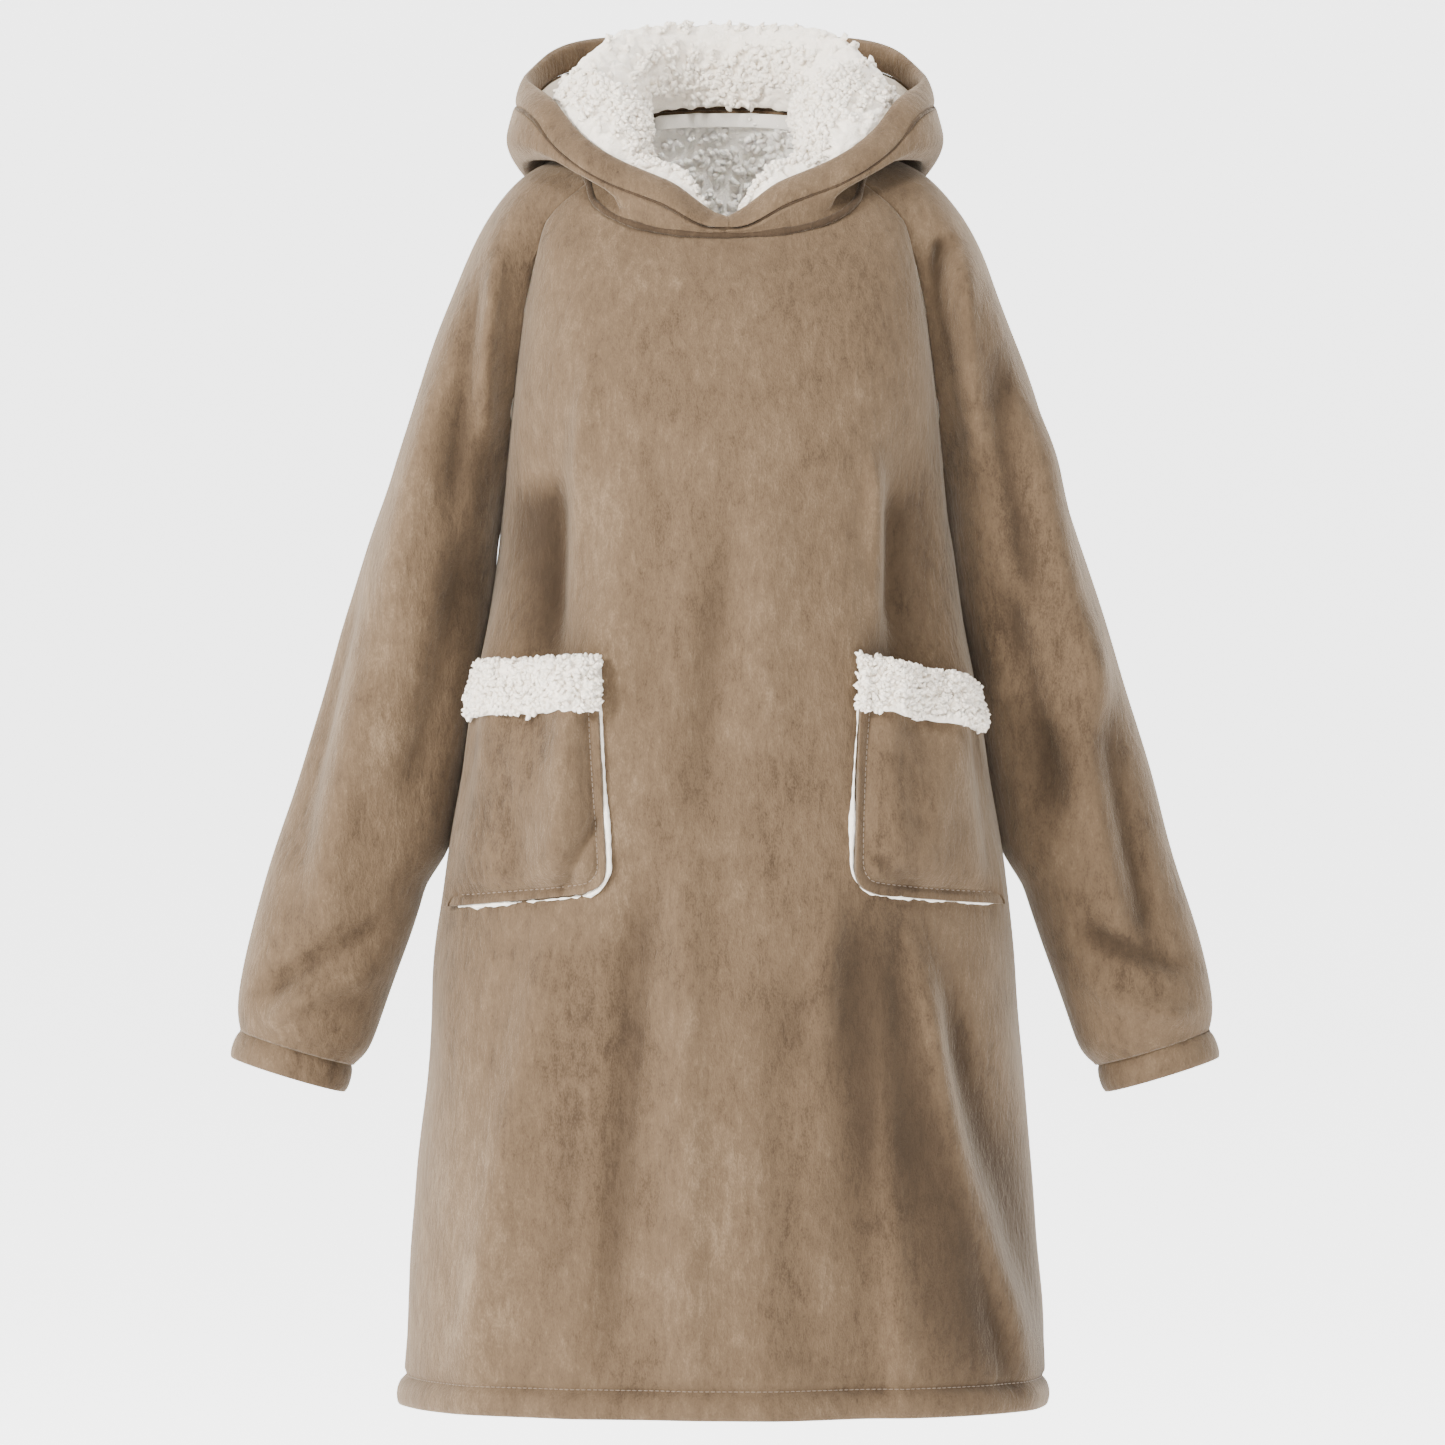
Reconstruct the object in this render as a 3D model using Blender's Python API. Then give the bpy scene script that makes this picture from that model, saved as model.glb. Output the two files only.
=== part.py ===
"""Wearable blanket hoodie, filled out as it hangs on a wearer, with nobody in it.

Metres, +Z up, the front faces -Y. The origin is the middle of the neck opening at the height where the
shoulders carry the garment. Left and right are the wearer's own: the right side is at -X.
"""

import math

import bmesh
import bpy
import numpy as np
from mathutils import Vector

# Cloth and sewing
BODY_WALL = 0.0050
SLEEVE_WALL = 0.0045
HOOD_WALL = 0.0022
LINING_GAP = 0.0025
LINING_NEAR = 0.0110
LINING_FAR = 0.0065
LINING_SEAM = 0.0065
SEAM_GAP = 0.0003
NECK_GAP = 0.0018
# How far down a raglan seam its two panels share the way in
SEAM_TOP = 0.36
SEAM_TOP_CLEAR = 0.0005

# Overall sizes
HEM_Z = -0.918
HEM_TURNING = 0.022
UNDERARM_Z = -0.258

# How round a body section is: 2 is an ellipse, more is boxier
BODY_ROUNDNESS = 2.3
# The height whose section spaces the columns of the body's surface
EVEN_AT = -0.600

FLANNEL = ("flannel", (0.33, 0.25, 0.18), 0.85)
SHERPA = ("sherpa", (0.86, 0.82, 0.76), 0.95)
TAPE = ("tape", (0.83, 0.79, 0.73), 0.75)


def table(columns, *rows):
    """A short table as a dict of arrays, one for each named column."""
    values = np.array(rows, float)
    return {name: values[:, k] for k, name in enumerate(columns.split())}


def millimetres(columns, angles, *rows):
    """A table stated in millimetres, as metres. The columns named in angles are in degrees and stay."""
    stated = table(columns, *rows)
    return {name: column if name in angles else column * 0.001 for name, column in stated.items()}


# The raglan seams and the side seam carry each body section. centre is the middle of the front or back.
RAGLAN_FRONT = table(
    "seam_z  seam_x  seam_y  centre_y centre_z",
    (-0.006, 0.102, -0.050, -0.088, -0.049),
    (-0.030, 0.132, -0.052, -0.104, -0.080),
    (-0.080, 0.146, -0.046, -0.121, -0.120),
    (-0.160, 0.157, -0.034, -0.135, -0.185),
    (UNDERARM_Z, 0.168, 0.004, -0.142, -0.265),
)
RAGLAN_BACK = table(
    "seam_z  seam_x  seam_y  centre_y centre_z",
    (0.034, 0.078, 0.056, 0.078, 0.049),
    (0.004, 0.108, 0.064, 0.092, 0.012),
    (-0.060, 0.137, 0.060, 0.106, -0.055),
    (-0.150, 0.155, 0.042, 0.118, -0.150),
    (UNDERARM_Z, 0.168, 0.004, 0.128, -0.258),
)
SKIRT = table(
    "seam_z  seam_x  seam_y  front_y  back_y",
    (-0.330, 0.178, 0.004, -0.147, 0.133),
    (-0.400, 0.191, 0.004, -0.151, 0.137),
    (-0.530, 0.212, 0.004, -0.157, 0.144),
    (-0.690, 0.226, 0.004, -0.162, 0.150),
    (-0.810, 0.236, 0.004, -0.166, 0.154),
    (HEM_Z, 0.243, 0.004, -0.168, 0.156),
)

# Soft folds of the body: each runs down from top to bottom. Out is positive, a trough is negative.
BODY_FOLDS = table(
    "face  top_x   top_z   bottom_x bottom_z  out     width",
    (-1, -0.132, -0.150, -0.133, -0.470, -0.026, 0.024),
    (-1, 0.142, -0.170, 0.136, -0.470, -0.027, 0.023),
    (-1, -0.098, -0.540, -0.170, -1.100, -0.007, 0.026),
    (-1, -0.040, -0.420, -0.075, -1.100, -0.006, 0.028),
    (-1, 0.030, -0.480, 0.052, -1.150, 0.006, 0.032),
    (-1, 0.090, -0.520, 0.112, -1.150, -0.010, 0.024),
    (-1, 0.118, -0.540, 0.240, -0.980, 0.013, 0.019),
    (-1, 0.166, -0.580, 0.262, -1.000, -0.011, 0.020),
    (1, -0.120, -0.240, -0.150, -1.050, -0.014, 0.028),
    (1, -0.060, -0.300, -0.070, -1.150, 0.008, 0.028),
    (1, 0.000, -0.240, 0.012, -1.150, -0.009, 0.030),
    (1, 0.066, -0.320, 0.085, -1.150, 0.008, 0.028),
    (1, 0.124, -0.260, 0.160, -1.050, -0.015, 0.028),
)

# Sleeve sections from the neck down to the cuff. down_seam is 1 from the underarm on, where the ring closes.
SLEEVE = table(
    "down_seam outer_x outer_z inner_x inner_z middle_y depth",
    (0.00, 0.106, 0.0190, 0, 0, 0.000, 0.000),
    (0.12, 0.137, 0.0120, 0, 0, 0.002, 0.008),
    (0.24, 0.159, -0.0030, 0, 0, 0.004, 0.018),
    (0.40, 0.178, -0.0290, 0, 0, 0.006, 0.032),
    (0.60, 0.200, -0.0760, 0, 0, 0.008, 0.046),
    (0.80, 0.225, -0.1400, 0, 0, 0.009, 0.056),
    (1.00, 0.254, -0.2320, 0.168, -0.258, 0.008, 0.064),
    (1.00, 0.276, -0.3020, 0.181, -0.330, 0.012, 0.068),
    (1.00, 0.299, -0.3760, 0.1945, -0.406, 0.014, 0.070),
    (1.00, 0.326, -0.4660, 0.2125, -0.501, 0.012, 0.068),
    (1.00, 0.353, -0.5560, 0.243, -0.590, 0.004, 0.061),
    (1.00, 0.3655, -0.6050, 0.259, -0.638, 0.000, 0.056),
    (1.00, 0.3672, -0.6260, 0.266, -0.656, -0.002, 0.052),
    (1.00, 0.3640, -0.6385, 0.2775, -0.665, -0.002, 0.044),
)
UNDERARM_ROW = 6
SLEEVE_CLEAR = 0.0008
CUFF_CLEAR = 0.0006
CUFF_LENGTH = 0.021
CUFF_WALL = 0.0065
CUFF_PROFILE = ((0.00, 0.985), (0.14, 1.025), (0.50, 1.050), (0.86, 1.040), (1.00, 1.000))

# Hood sections round the neck, from the middle of the front (0 degrees) to the middle of the back.
# The cloth stands up from the neck seam, rolls over a ridge, hangs as a pouch and comes up again to its foot
# at the face band. r is a distance from the neck's axis, lean tips the band towards that axis.
HOOD = millimetres(
    "turn stand_r stand_z ridge_r ridge_z ridge_o pouch_r pouch_z pouch_o"
    " bulge_r bulge_z foot_r foot_z lean band",
    ("turn", "lean"),
    (0, 88.6, -46.8, 89.3, -45.6, 0.4, 90.3, -44.2, 0.4, 90.9, -43.3, 91.5, -42.5, 38, 9.5),
    (10, 89.6, -46.4, 90.5, -45.6, 0.5, 92, -44.4, 0.5, 93, -43.7, 94, -43, 38, 19),
    (21, 92.5, -41.5, 94.5, -38.5, 1, 97.8, -34.5, 1, 100, -31.5, 102, -28.7, 38, 22),
    (34, 98, -33.5, 100, -29.5, 1.3, 103.5, -25, 1.3, 105.8, -21.5, 107.5, -18.5, 40, 22),
    (46, 100, -20, 102, -13, 2.2, 110, -14, 2, 115, -13, 117.5, -9, 40, 22),
    (57, 96, -2, 99, 16, 5, 115, -7, 5, 126.5, -3, 130, 4.5, 43, 22),
    (69, 86, 18, 98, 44, 10, 124, 9, 8, 140, 13, 140.5, 24.5, 48, 22),
    (80, 74, 31, 100, 61, 13, 140, 12, 9, 157, 25, 151, 49.5, 56, 22),
    (90, 67, 40, 103, 72, 14, 150, 12, 10, 164, 29, 157, 53, 44, 22),
    (100, 68, 46, 100, 85, 13, 154, 6, 11, 169, 28, 161, 56, 18, 22),
    (115, 72, 54, 97, 98, 12, 156, -6, 12, 174, 24, 164, 65, 0, 22),
    (128, 76, 64, 96, 108, 11.5, 156, -32, 12, 175, 10, 163, 88, -3, 22),
    (140, 78, 70, 94, 112, 11, 153, -64, 12.5, 173, -12, 163, 95.5, -3, 22),
    (160, 79, 74, 92, 114, 10.5, 147, -104, 13, 169, -45, 158, 97, -3, 22),
    (180, 79, 75, 91, 114.5, 10.5, 145, -115, 13, 167, -60, 155, 97, -3, 22),
)
HOOD_TURNS = (0, 8, 16, 24, 32, 40, 45, 48, 52, 57, 63.9, 70, 76, 83, 90, 98, 107, 117, 125.7, 143, 161, 180)
BAND_OUTSIDE = 0.003
BAND_INSIDE_FRONT = 0.0025
BAND_INSIDE = 0.007
BAND_CLEAR = 0.0010
BAND_CLEAR_FRONT = 0.0050
BAND_BEHIND = 0.0012
# The turns between which the plain collar becomes the folded hood, and the lining's room there
CHANGE = (42, 56)
CHANGE_CLEAR = 0.0008
# Spans of turns, in degrees, over which the shape of the hood's layers changes from the front to the back
CLEAR_COMES = (42, 47)
CLEAR_GOES = (60, 70)
RIDGE_TURNS_OUT = (55, 80)
RIDGE_FILLS = (50, 75)
COVER_ENDS = (42, 53)
COVER_TURNS = (38, 50)
LINING_TUCKS = (52, 60)
LINING_THINS = (60, 100)
LINING_STARTS = (0, 16)
BAND_THICKENS = (8, 44)
COLLAR_RISES = (0, 20)
# The way into the cloth of the plain collar
PLAIN_WAY = np.array((-0.83, 0.55))

# Patch pockets on the front, each from its inner edge out to just short of the side seam
POCKETS = table(
    "side inner_top_x inner_low_x mouth_inner_z mouth_outer_z low_inner_z low_outer_z",
    (-1, 0.0925, 0.0845, -0.369, -0.373, -0.534, -0.545),
    (1, 0.0990, 0.0920, -0.367, -0.387, -0.535, -0.543),
)
POCKET_REACH = 0.955
POCKET_WIDTH = 0.105
POCKET_HEIGHT = 0.170
POCKET_SLOPE = 0.022
POCKET_WALL = 0.0035
POCKET_CLEAR = 0.0011
POCKET_BULGE = 0.009
POCKET_GAPE = 0.017
POCKET_FLANGE = 0.009
POCKET_CORNER = 0.019
TRIM_OUTSIDE = 0.030
TRIM_INSIDE = 0.012
TRIM_WALL = 0.0075
TRIM_CLEAR = 0.0010

NECK_TAPE = dict(half_width=0.056, top=0.004, drop=0.013, wall=0.0010, inset=0.0046, narrow=0.96)


def hermite(known, values, at):
    """Smooth curve through a column of a table: cubic pieces whose slopes never overshoot."""
    known, values = np.asarray(known, float), np.asarray(values, float)
    if known[0] > known[-1]:
        known, values = known[::-1], values[::-1]
    steps = np.diff(known)
    slopes = np.diff(values) / steps
    tangents = np.empty_like(values)
    tangents[0], tangents[-1] = slopes[0], slopes[-1]
    for k in range(1, len(values) - 1):
        before, after = slopes[k - 1], slopes[k]
        tangents[k] = 0 if before * after <= 0 else 2 * before * after / (before + after)
    at = float(np.clip(at, known[0], known[-1]))
    k = int(np.clip(np.searchsorted(known, at) - 1, 0, len(steps) - 1))
    t = (at - known[k]) / steps[k]
    return (
        (2 * t**3 - 3 * t**2 + 1) * values[k]
        + (t**3 - 2 * t**2 + t) * steps[k] * tangents[k]
        + (3 * t**2 - 2 * t**3) * values[k + 1]
        + (t**3 - t**2) * steps[k] * tangents[k + 1]
    )


def ease(x):
    """0 below 0, 1 above 1 and smooth between."""
    x = min(max(x, 0.0), 1.0)
    return x * x * (3 - 2 * x)


def mix(a, b, share):
    return a + (b - a) * share


def through(span, turn):
    """How far this turn is through a span of turns, eased from 0 to 1."""
    return ease((turn - span[0]) / (span[1] - span[0]))


def joined(raglan, centre_column):
    """A raglan table carried on down the side seam to the hem, as one table."""
    skirt = dict(SKIRT, centre_y=SKIRT[centre_column], centre_z=SKIRT["seam_z"])
    return {name: np.concatenate([raglan[name], skirt[name]]) for name in raglan}


FRONT = joined(RAGLAN_FRONT, "front_y")
BACK = joined(RAGLAN_BACK, "back_y")


def rounded(turn):
    """Across and out shares of a body section at this turn, -90 degrees at one seam and 90 at the next."""
    power = 2 / BODY_ROUNDNESS
    across = math.copysign(abs(math.sin(turn)) ** power, turn)
    return across, abs(math.cos(turn)) ** power


def fold_depth(face, x, z, nearness):
    """How far the folds push this point of the body out. nearness is 0 at the seams, where folds die out."""
    total = 0.0
    for k in range(len(BODY_FOLDS["face"])):
        fold = {name: column[k] for name, column in BODY_FOLDS.items()}
        if fold["face"] != face:
            continue
        down = (fold["top_z"] - z) / (fold["top_z"] - fold["bottom_z"])
        if not 0 < down < 1:
            continue
        path = mix(fold["top_x"], fold["bottom_x"], down)
        strength = ease(down / 0.45) * ease((1 - down) / 0.3)
        total += fold["out"] * strength * math.exp(-(((x - path) / fold["width"]) ** 2))
    return total * ease(nearness / 0.45)


def hem_step(z):
    """The turned-up hem stands a little proud below its row of stitches, which pulls in."""
    above = (z - HEM_Z) / HEM_TURNING
    if above > 1.35:
        return 0.0
    if above > 0.95:
        return -0.0014 * ease((1.35 - above) / 0.4)
    return 0.0022 * ease((0.95 - above) / 0.3) * ease((above + 0.35) / 0.5)


def outward(part, turn):
    """Roughly the way out of the body at this turn, level."""
    across, out = rounded(turn)
    face = -1 if part is FRONT else 1
    return Vector((across * 0.8, face * max(out, 0.05), 0)).normalized()


def body_point(part, turn, seam_z):
    """A point on the outside of the body. part is FRONT or BACK, turn runs from seam to seam."""
    seam_x, seam_y, centre_y, centre_z = (
        hermite(part["seam_z"], part[name], seam_z)
        for name in ("seam_x", "seam_y", "centre_y", "centre_z")
    )
    across, out = rounded(turn)
    face = -1 if part is FRONT else 1
    x = seam_x * across
    z = mix(seam_z, centre_z, out)
    push = fold_depth(face, x, z, out) + hem_step(seam_z)
    return Vector((x, mix(seam_y, centre_y, out), z)) + outward(part, turn) * push


def turn_at(part, x, z):
    """The turn at which a section below the underarm reaches x."""
    across = np.clip(x / hermite(part["seam_z"], part["seam_x"], z), -1, 1)
    return math.copysign(math.asin(abs(across) ** (BODY_ROUNDNESS / 2)), x)


def levels(*stops):
    """Section heights: each stop is (height, number of steps down to the next)."""
    heights = []
    for (start, steps), (end, _) in zip(stops, stops[1:]):
        heights += [mix(start, end, k / steps) for k in range(steps)]
    return heights + [stops[-1][0]]


def even_turns(part, count):
    """Turns of a body section from one seam to the other, spaced evenly along the cloth."""
    fine = [math.pi / 2 * (k / 200 - 1) for k in range(401)]
    places = [body_point(part, turn, EVEN_AT) for turn in fine]
    steps = [(b - a).length for a, b in zip(places, places[1:])]
    along = np.concatenate([[0], np.cumsum(steps)])
    return [float(turn) for turn in np.interp(np.linspace(0, along[-1], count + 1), along, fine)]


def raglan_point(part, down_seam):
    """A point of the raglan seam, from the neck (0) to the underarm (1), for the +X side."""
    return body_point(part, math.pi / 2, mix(part["seam_z"][0], UNDERARM_Z, down_seam))


def sleeve_section(row):
    """A sleeve's section at a row number of its table, whole or between two rows, for the +X side."""
    at = {name: hermite(range(len(column)), column, row) for name, column in SLEEVE.items()}
    share = min(at["down_seam"], 1.0)
    front, back = raglan_point(FRONT, share), raglan_point(BACK, share)
    if row > UNDERARM_ROW:
        front = back = Vector((at["inner_x"], at["middle_y"], at["inner_z"]))
    outer = Vector((at["outer_x"], at["middle_y"], at["outer_z"]))
    return front, back, outer, at["depth"]


def sleeve_point(row, turn):
    """A point round a sleeve: turn 0 is the front seam, 180 degrees is outermost, 360 the back seam."""
    front, back, outer, depth = sleeve_section(row)
    middle, half = (front + back) / 2, (front - back) / 2
    out = mix(math.sin(turn / 2), (1 - math.cos(turn)) / 2, ease((row - 4) / 3))
    fullness = Vector((0, -depth * math.sin(turn), 0))
    return middle + (outer - middle) * out + half * (1 - turn / math.pi) + fullness


def neck_loop():
    """The neck seam of the +X half as a dense line, from the middle of the front round to the back's."""
    quarter = [math.pi / 2 * k / 40 for k in range(41)]
    front = [body_point(FRONT, turn, FRONT["seam_z"][0]) for turn in quarter]
    side = [sleeve_point(0, 2 * math.pi * k / 40) for k in range(1, 40)]
    back = [body_point(BACK, turn, BACK["seam_z"][0]) for turn in reversed(quarter)]
    return front + side + back


NECK = neck_loop()
NECK_TURNS = [math.degrees(math.atan2(p.x, -p.y)) for p in NECK]


def neck_section(turn):
    """Distance from the neck's axis and height of the neck seam at this turn, in degrees."""
    order = np.argsort(NECK_TURNS)
    turns = np.array(NECK_TURNS)[order]
    radii = np.array([math.hypot(p.x, p.y) for p in NECK])[order]
    heights = np.array([p.z for p in NECK])[order]
    return np.interp(turn, turns, radii), np.interp(turn, turns, heights)


def centripetal(controls, counts):
    """Points along a centripetal Catmull-Rom curve through controls, with counts steps on each stretch."""
    ends = [2 * controls[0] - controls[1], *controls, 2 * controls[-1] - controls[-2]]
    made = []
    for k, count in enumerate(counts):
        p0, p1, p2, p3 = ends[k : k + 4]
        t1 = max(np.linalg.norm(p1 - p0), 1e-7) ** 0.5
        t2 = t1 + max(np.linalg.norm(p2 - p1), 1e-7) ** 0.5
        t3 = t2 + max(np.linalg.norm(p3 - p2), 1e-7) ** 0.5
        for t in np.linspace(t1, t2, count, endpoint=False):
            a1 = (t1 - t) / t1 * p0 + t / t1 * p1
            a2 = (t2 - t) / (t2 - t1) * p1 + (t - t1) / (t2 - t1) * p2
            a3 = (t3 - t) / (t3 - t2) * p2 + (t - t2) / (t3 - t2) * p3
            b1 = (t2 - t) / t2 * a1 + t / t2 * a2
            b2 = (t3 - t) / (t3 - t1) * a2 + (t - t1) / (t3 - t1) * a3
            made.append((t2 - t) / (t2 - t1) * b1 + (t - t1) / (t2 - t1) * b2)
    return [*made, controls[-1]]


def pair(r, z):
    return np.array((r, z), float)


def hood_at(turn):
    return {name: hermite(HOOD["turn"], column, turn) for name, column in HOOD.items()}


def band_rise(at):
    """The unit way from the foot of the band to its free edge, as (r, z)."""
    lean = math.radians(at["lean"])
    return pair(-math.sin(lean), math.cos(lean))


def band_inside(turn):
    """How far the band stands in from the line of the cloth: less where its ends meet."""
    return mix(BAND_INSIDE_FRONT, BAND_INSIDE, through(BAND_THICKENS, turn))


# Steps along each stretch of a hood section
HOOD_STEPS = (2, 2, 1, 1, 3, 1, 2, 1, 1)


def hood_profile(turn, depth, lining=False):
    """A hood section as (r, z) points from the neck seam up, depth inside the cloth's outside.

    Near the front the cloth is a plain collar. From CHANGE on round to the back it is folded over.
    """
    at = hood_at(turn)
    seam_r, seam_z = neck_section(turn)
    folded = through(CHANGE, turn)
    ridge, pouch = at["ridge_o"], at["pouch_o"]
    up = band_rise(at)
    inward = pair(-up[1], up[0])
    foot = pair(at["foot_r"], at["foot_z"])
    # Each station: a place on the outside, the way into the cloth there, and how full the lining is
    steep = mix(pair(0.3, 0.95), pair(0.86, 0.5), through(RIDGE_TURNS_OUT, turn))
    full = mix(0.3, 1, through(RIDGE_FILLS, turn))
    stations = [
        ((seam_r, seam_z + NECK_GAP), (-1, 0), 1),
        ((at["stand_r"], at["stand_z"]), (-1, 0), 1),
        ((at["ridge_r"] - ridge, at["ridge_z"] - ridge * 0.7), (-0.7, 0.7), 1),
        ((at["ridge_r"], at["ridge_z"]), (0, 1), 1),
        ((at["ridge_r"] + ridge, at["ridge_z"] - ridge * 0.7), (0.75, 0.65), full),
        ((at["pouch_r"] - pouch, at["pouch_z"] + pouch * 0.9), steep, 0.4),
        ((at["pouch_r"], at["pouch_z"]), (0, 1), 0.35),
        ((at["bulge_r"], at["bulge_z"]), (-1, 0), 0.3),
    ]
    extra = max(depth - LINING_GAP, 0)
    if lining:
        depth += CHANGE_CLEAR * through(CLEAR_COMES, turn) * (1 - through(CLEAR_GOES, turn))
    controls = []
    for place, way, fill in stations:
        controls.append(pair(*place) + pair(*way) * (depth - extra * (1 - fill)))
    bulge = pair(at["bulge_r"], at["bulge_z"])
    rising = foot - mix(pair(seam_r, seam_z), bulge, folded)
    rising /= np.linalg.norm(rising)
    slant = rising[0] * up[1] - rising[1] * up[0]
    short = (HOOD_WALL * slant + BAND_CLEAR) / max(rising @ up, 0.3)
    short = min(short, BAND_CLEAR_FRONT * mix(0.55, 1, through(COLLAR_RISES, turn)))
    way = mix(PLAIN_WAY, pair(-rising[1], rising[0]), folded)
    way /= np.linalg.norm(way)
    if not lining:
        end = foot - rising * short + way * depth
        low = pair(seam_r, seam_z + NECK_GAP) + PLAIN_WAY * depth
    else:
        reach = at["band"] * (1 - through(COVER_ENDS, turn)) - BAND_CLEAR
        covering = foot + up * reach + inward * (band_inside(turn) + BAND_BEHIND)
        covering += mix(inward, pair(-0.9, 0.4), through(COVER_TURNS, turn)) * extra * 0.5
        changing = 4 * folded * (1 - folded)
        lift = changing * (pair(0.0004, 0.0020) + pair(0, 0.25) * extra)
        covering += changing * pair(-0.1, 0.35) * extra
        controls = [*controls[:3], *(place + lift for place in controls[3:])]
        tucked = foot - rising * (short + SEAM_GAP) + way * (LINING_GAP + SEAM_GAP + extra * 0.15)
        end = mix(covering, tucked, through(LINING_TUCKS, turn))
        low = pair(seam_r - LINING_SEAM - extra, seam_z + NECK_GAP)
    controls += [mix(controls[-1], end, 0.5), end]
    straight = [mix(low, end, k / (len(controls) - 1)) for k in range(len(controls))]
    return centripetal([mix(a, b, folded) for a, b in zip(straight, controls)], HOOD_STEPS)


def around(turn, r, z):
    """A point at a turn in degrees from the front, on the +X side, at distance r from the neck's axis."""
    angle = math.radians(turn)
    return Vector((r * math.sin(angle), -r * math.cos(angle), z))


def hood_grid(turns, profile_at):
    """Rows from the neck seam up, one point for each turn."""
    profiles = [profile_at(turn) for turn in turns]
    return [[around(t, *p[i]) for t, p in zip(turns, profiles)] for i in range(len(profiles[0]))]


def make_material(name, colour, roughness):
    material = bpy.data.materials.get(name) or bpy.data.materials.new(name)
    material.use_nodes = True
    shader = material.node_tree.nodes["Principled BSDF"]
    shader.inputs["Base Color"].default_value = (*colour, 1)
    shader.inputs["Roughness"].default_value = roughness
    shader.inputs["Metallic"].default_value = 0
    return material


def add_object(name, bm, finish):
    bmesh.ops.triangulate(bm, faces=bm.faces)
    mesh = bpy.data.meshes.new(name)
    bm.to_mesh(mesh)
    bm.free()
    mesh.materials.append(make_material(*finish))
    mesh.shade_smooth()
    mesh.set_sharp_from_angle(angle=math.radians(50))
    made = bpy.data.objects.new(name, mesh)
    bpy.context.scene.collection.objects.link(made)
    return made


def between(name, outside, inside, faces, finish):
    """A closed wall between two surfaces with the same faces, numbered alike."""
    bm = bmesh.new()
    outer = [bm.verts.new(p) for p in outside]
    for face in faces:
        bm.faces.new([outer[k] for k in face])
    bm.verts.index_update()
    rims = [edge.link_loops[0] for edge in bm.edges if edge.is_boundary]
    rims = [(loop.vert.index, loop.link_loop_next.vert.index) for loop in rims]
    inner = [bm.verts.new(p) for p in inside]
    for face in faces:
        bm.faces.new([inner[k] for k in reversed(face)])
    for a, b in rims:
        bm.faces.new([outer[b], outer[a], inner[a], inner[b]])
    return add_object(name, bm, finish)


def normals_of(points, faces):
    """The unit way out at each point of a surface."""
    totals = [Vector() for _ in points]
    for face in faces:
        corners = [points[k] for k in face]
        for b, c in zip(corners[1:], corners[2:]):
            way = (b - corners[0]).cross(c - corners[0])
            for k in face:
                totals[k] += way
    return [total.normalized() if total.length else Vector((0, 0, 1)) for total in totals]


def cloth(name, points, faces, wall, finish, pinned=None):
    """A surface with a wall behind it. pinned gives ways in and their weights at points on a shared seam."""
    ways = normals_of(points, faces)
    inside = []
    for k, (p, way) in enumerate(zip(points, ways)):
        shared, weight = (pinned or {}).get(k, (-way, 1))
        inside.append(p + (-way).lerp(shared, weight).normalized() * wall)
    return between(name, points, inside, faces, finish)


def grid_faces(rows, columns, flip=False, closed_from=None):
    """Quads of a grid of points, numbered by rows. From row closed_from on, the last column is the first."""

    def index(i, j):
        closed = closed_from is not None and i >= closed_from and j == columns - 1
        return i * columns + (0 if closed else j)

    faces = []
    for i in range(rows - 1):
        for j in range(columns - 1):
            corners = (index(i, j), index(i + 1, j), index(i + 1, j + 1), index(i, j + 1))
            faces.append(tuple(reversed(corners)) if flip else corners)
    return faces


def drop_unused(points, faces):
    """Leaves out the points that no face uses, and numbers the rest afresh."""
    used = sorted({k for face in faces for k in face})
    fresh = {old: new for new, old in enumerate(used)}
    return [points[k] for k in used], [tuple(fresh[k] for k in face) for face in faces]


def flat(rows):
    return [point for row in rows for point in row]


def mirrored(points, side):
    return [Vector((side * p.x, p.y, p.z)) for p in points]


def seam_way(part, down_seam, side):
    """The way into the cloth near the top of a raglan seam, shared by panel and sleeve, and its weight."""
    point = raglan_point(part, down_seam)
    inside = Vector((0.05, 0.25 * point.y, point.z - 0.06))
    way = (inside - point).normalized()
    return Vector((side * way.x, way.y, way.z)), 1 - ease((down_seam - 0.1) / (SEAM_TOP - 0.1))


def body_panel(name, part, turns, heights):
    """The front or the back, from raglan seams and side seams to the hem."""
    rows = [[body_point(part, turn, z) for turn in turns] for z in heights]
    face = -1 if part is FRONT else 1
    columns = len(turns)
    pinned = {}
    for i, z in enumerate(heights):
        share = (z - part["seam_z"][0]) / (UNDERARM_Z - part["seam_z"][0])
        for j in (0, columns - 1):
            side = math.copysign(1, rows[i][j].x)
            rows[i][j].y += face * (SEAM_GAP / 2 if z <= UNDERARM_Z else SEAM_GAP * 1.5)
            rows[i][j].x -= side * (SEAM_GAP + SEAM_TOP_CLEAR * (1 - ease(share / SEAM_TOP)))
            if z <= UNDERARM_Z:
                pinned[i * columns + j] = Vector((-side, 0, 0)), 1
            elif share < SEAM_TOP:
                pinned[i * columns + j] = seam_way(part, share, side)
    cloth(name, flat(rows), grid_faces(len(rows), columns), BODY_WALL, FLANNEL, pinned)


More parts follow.
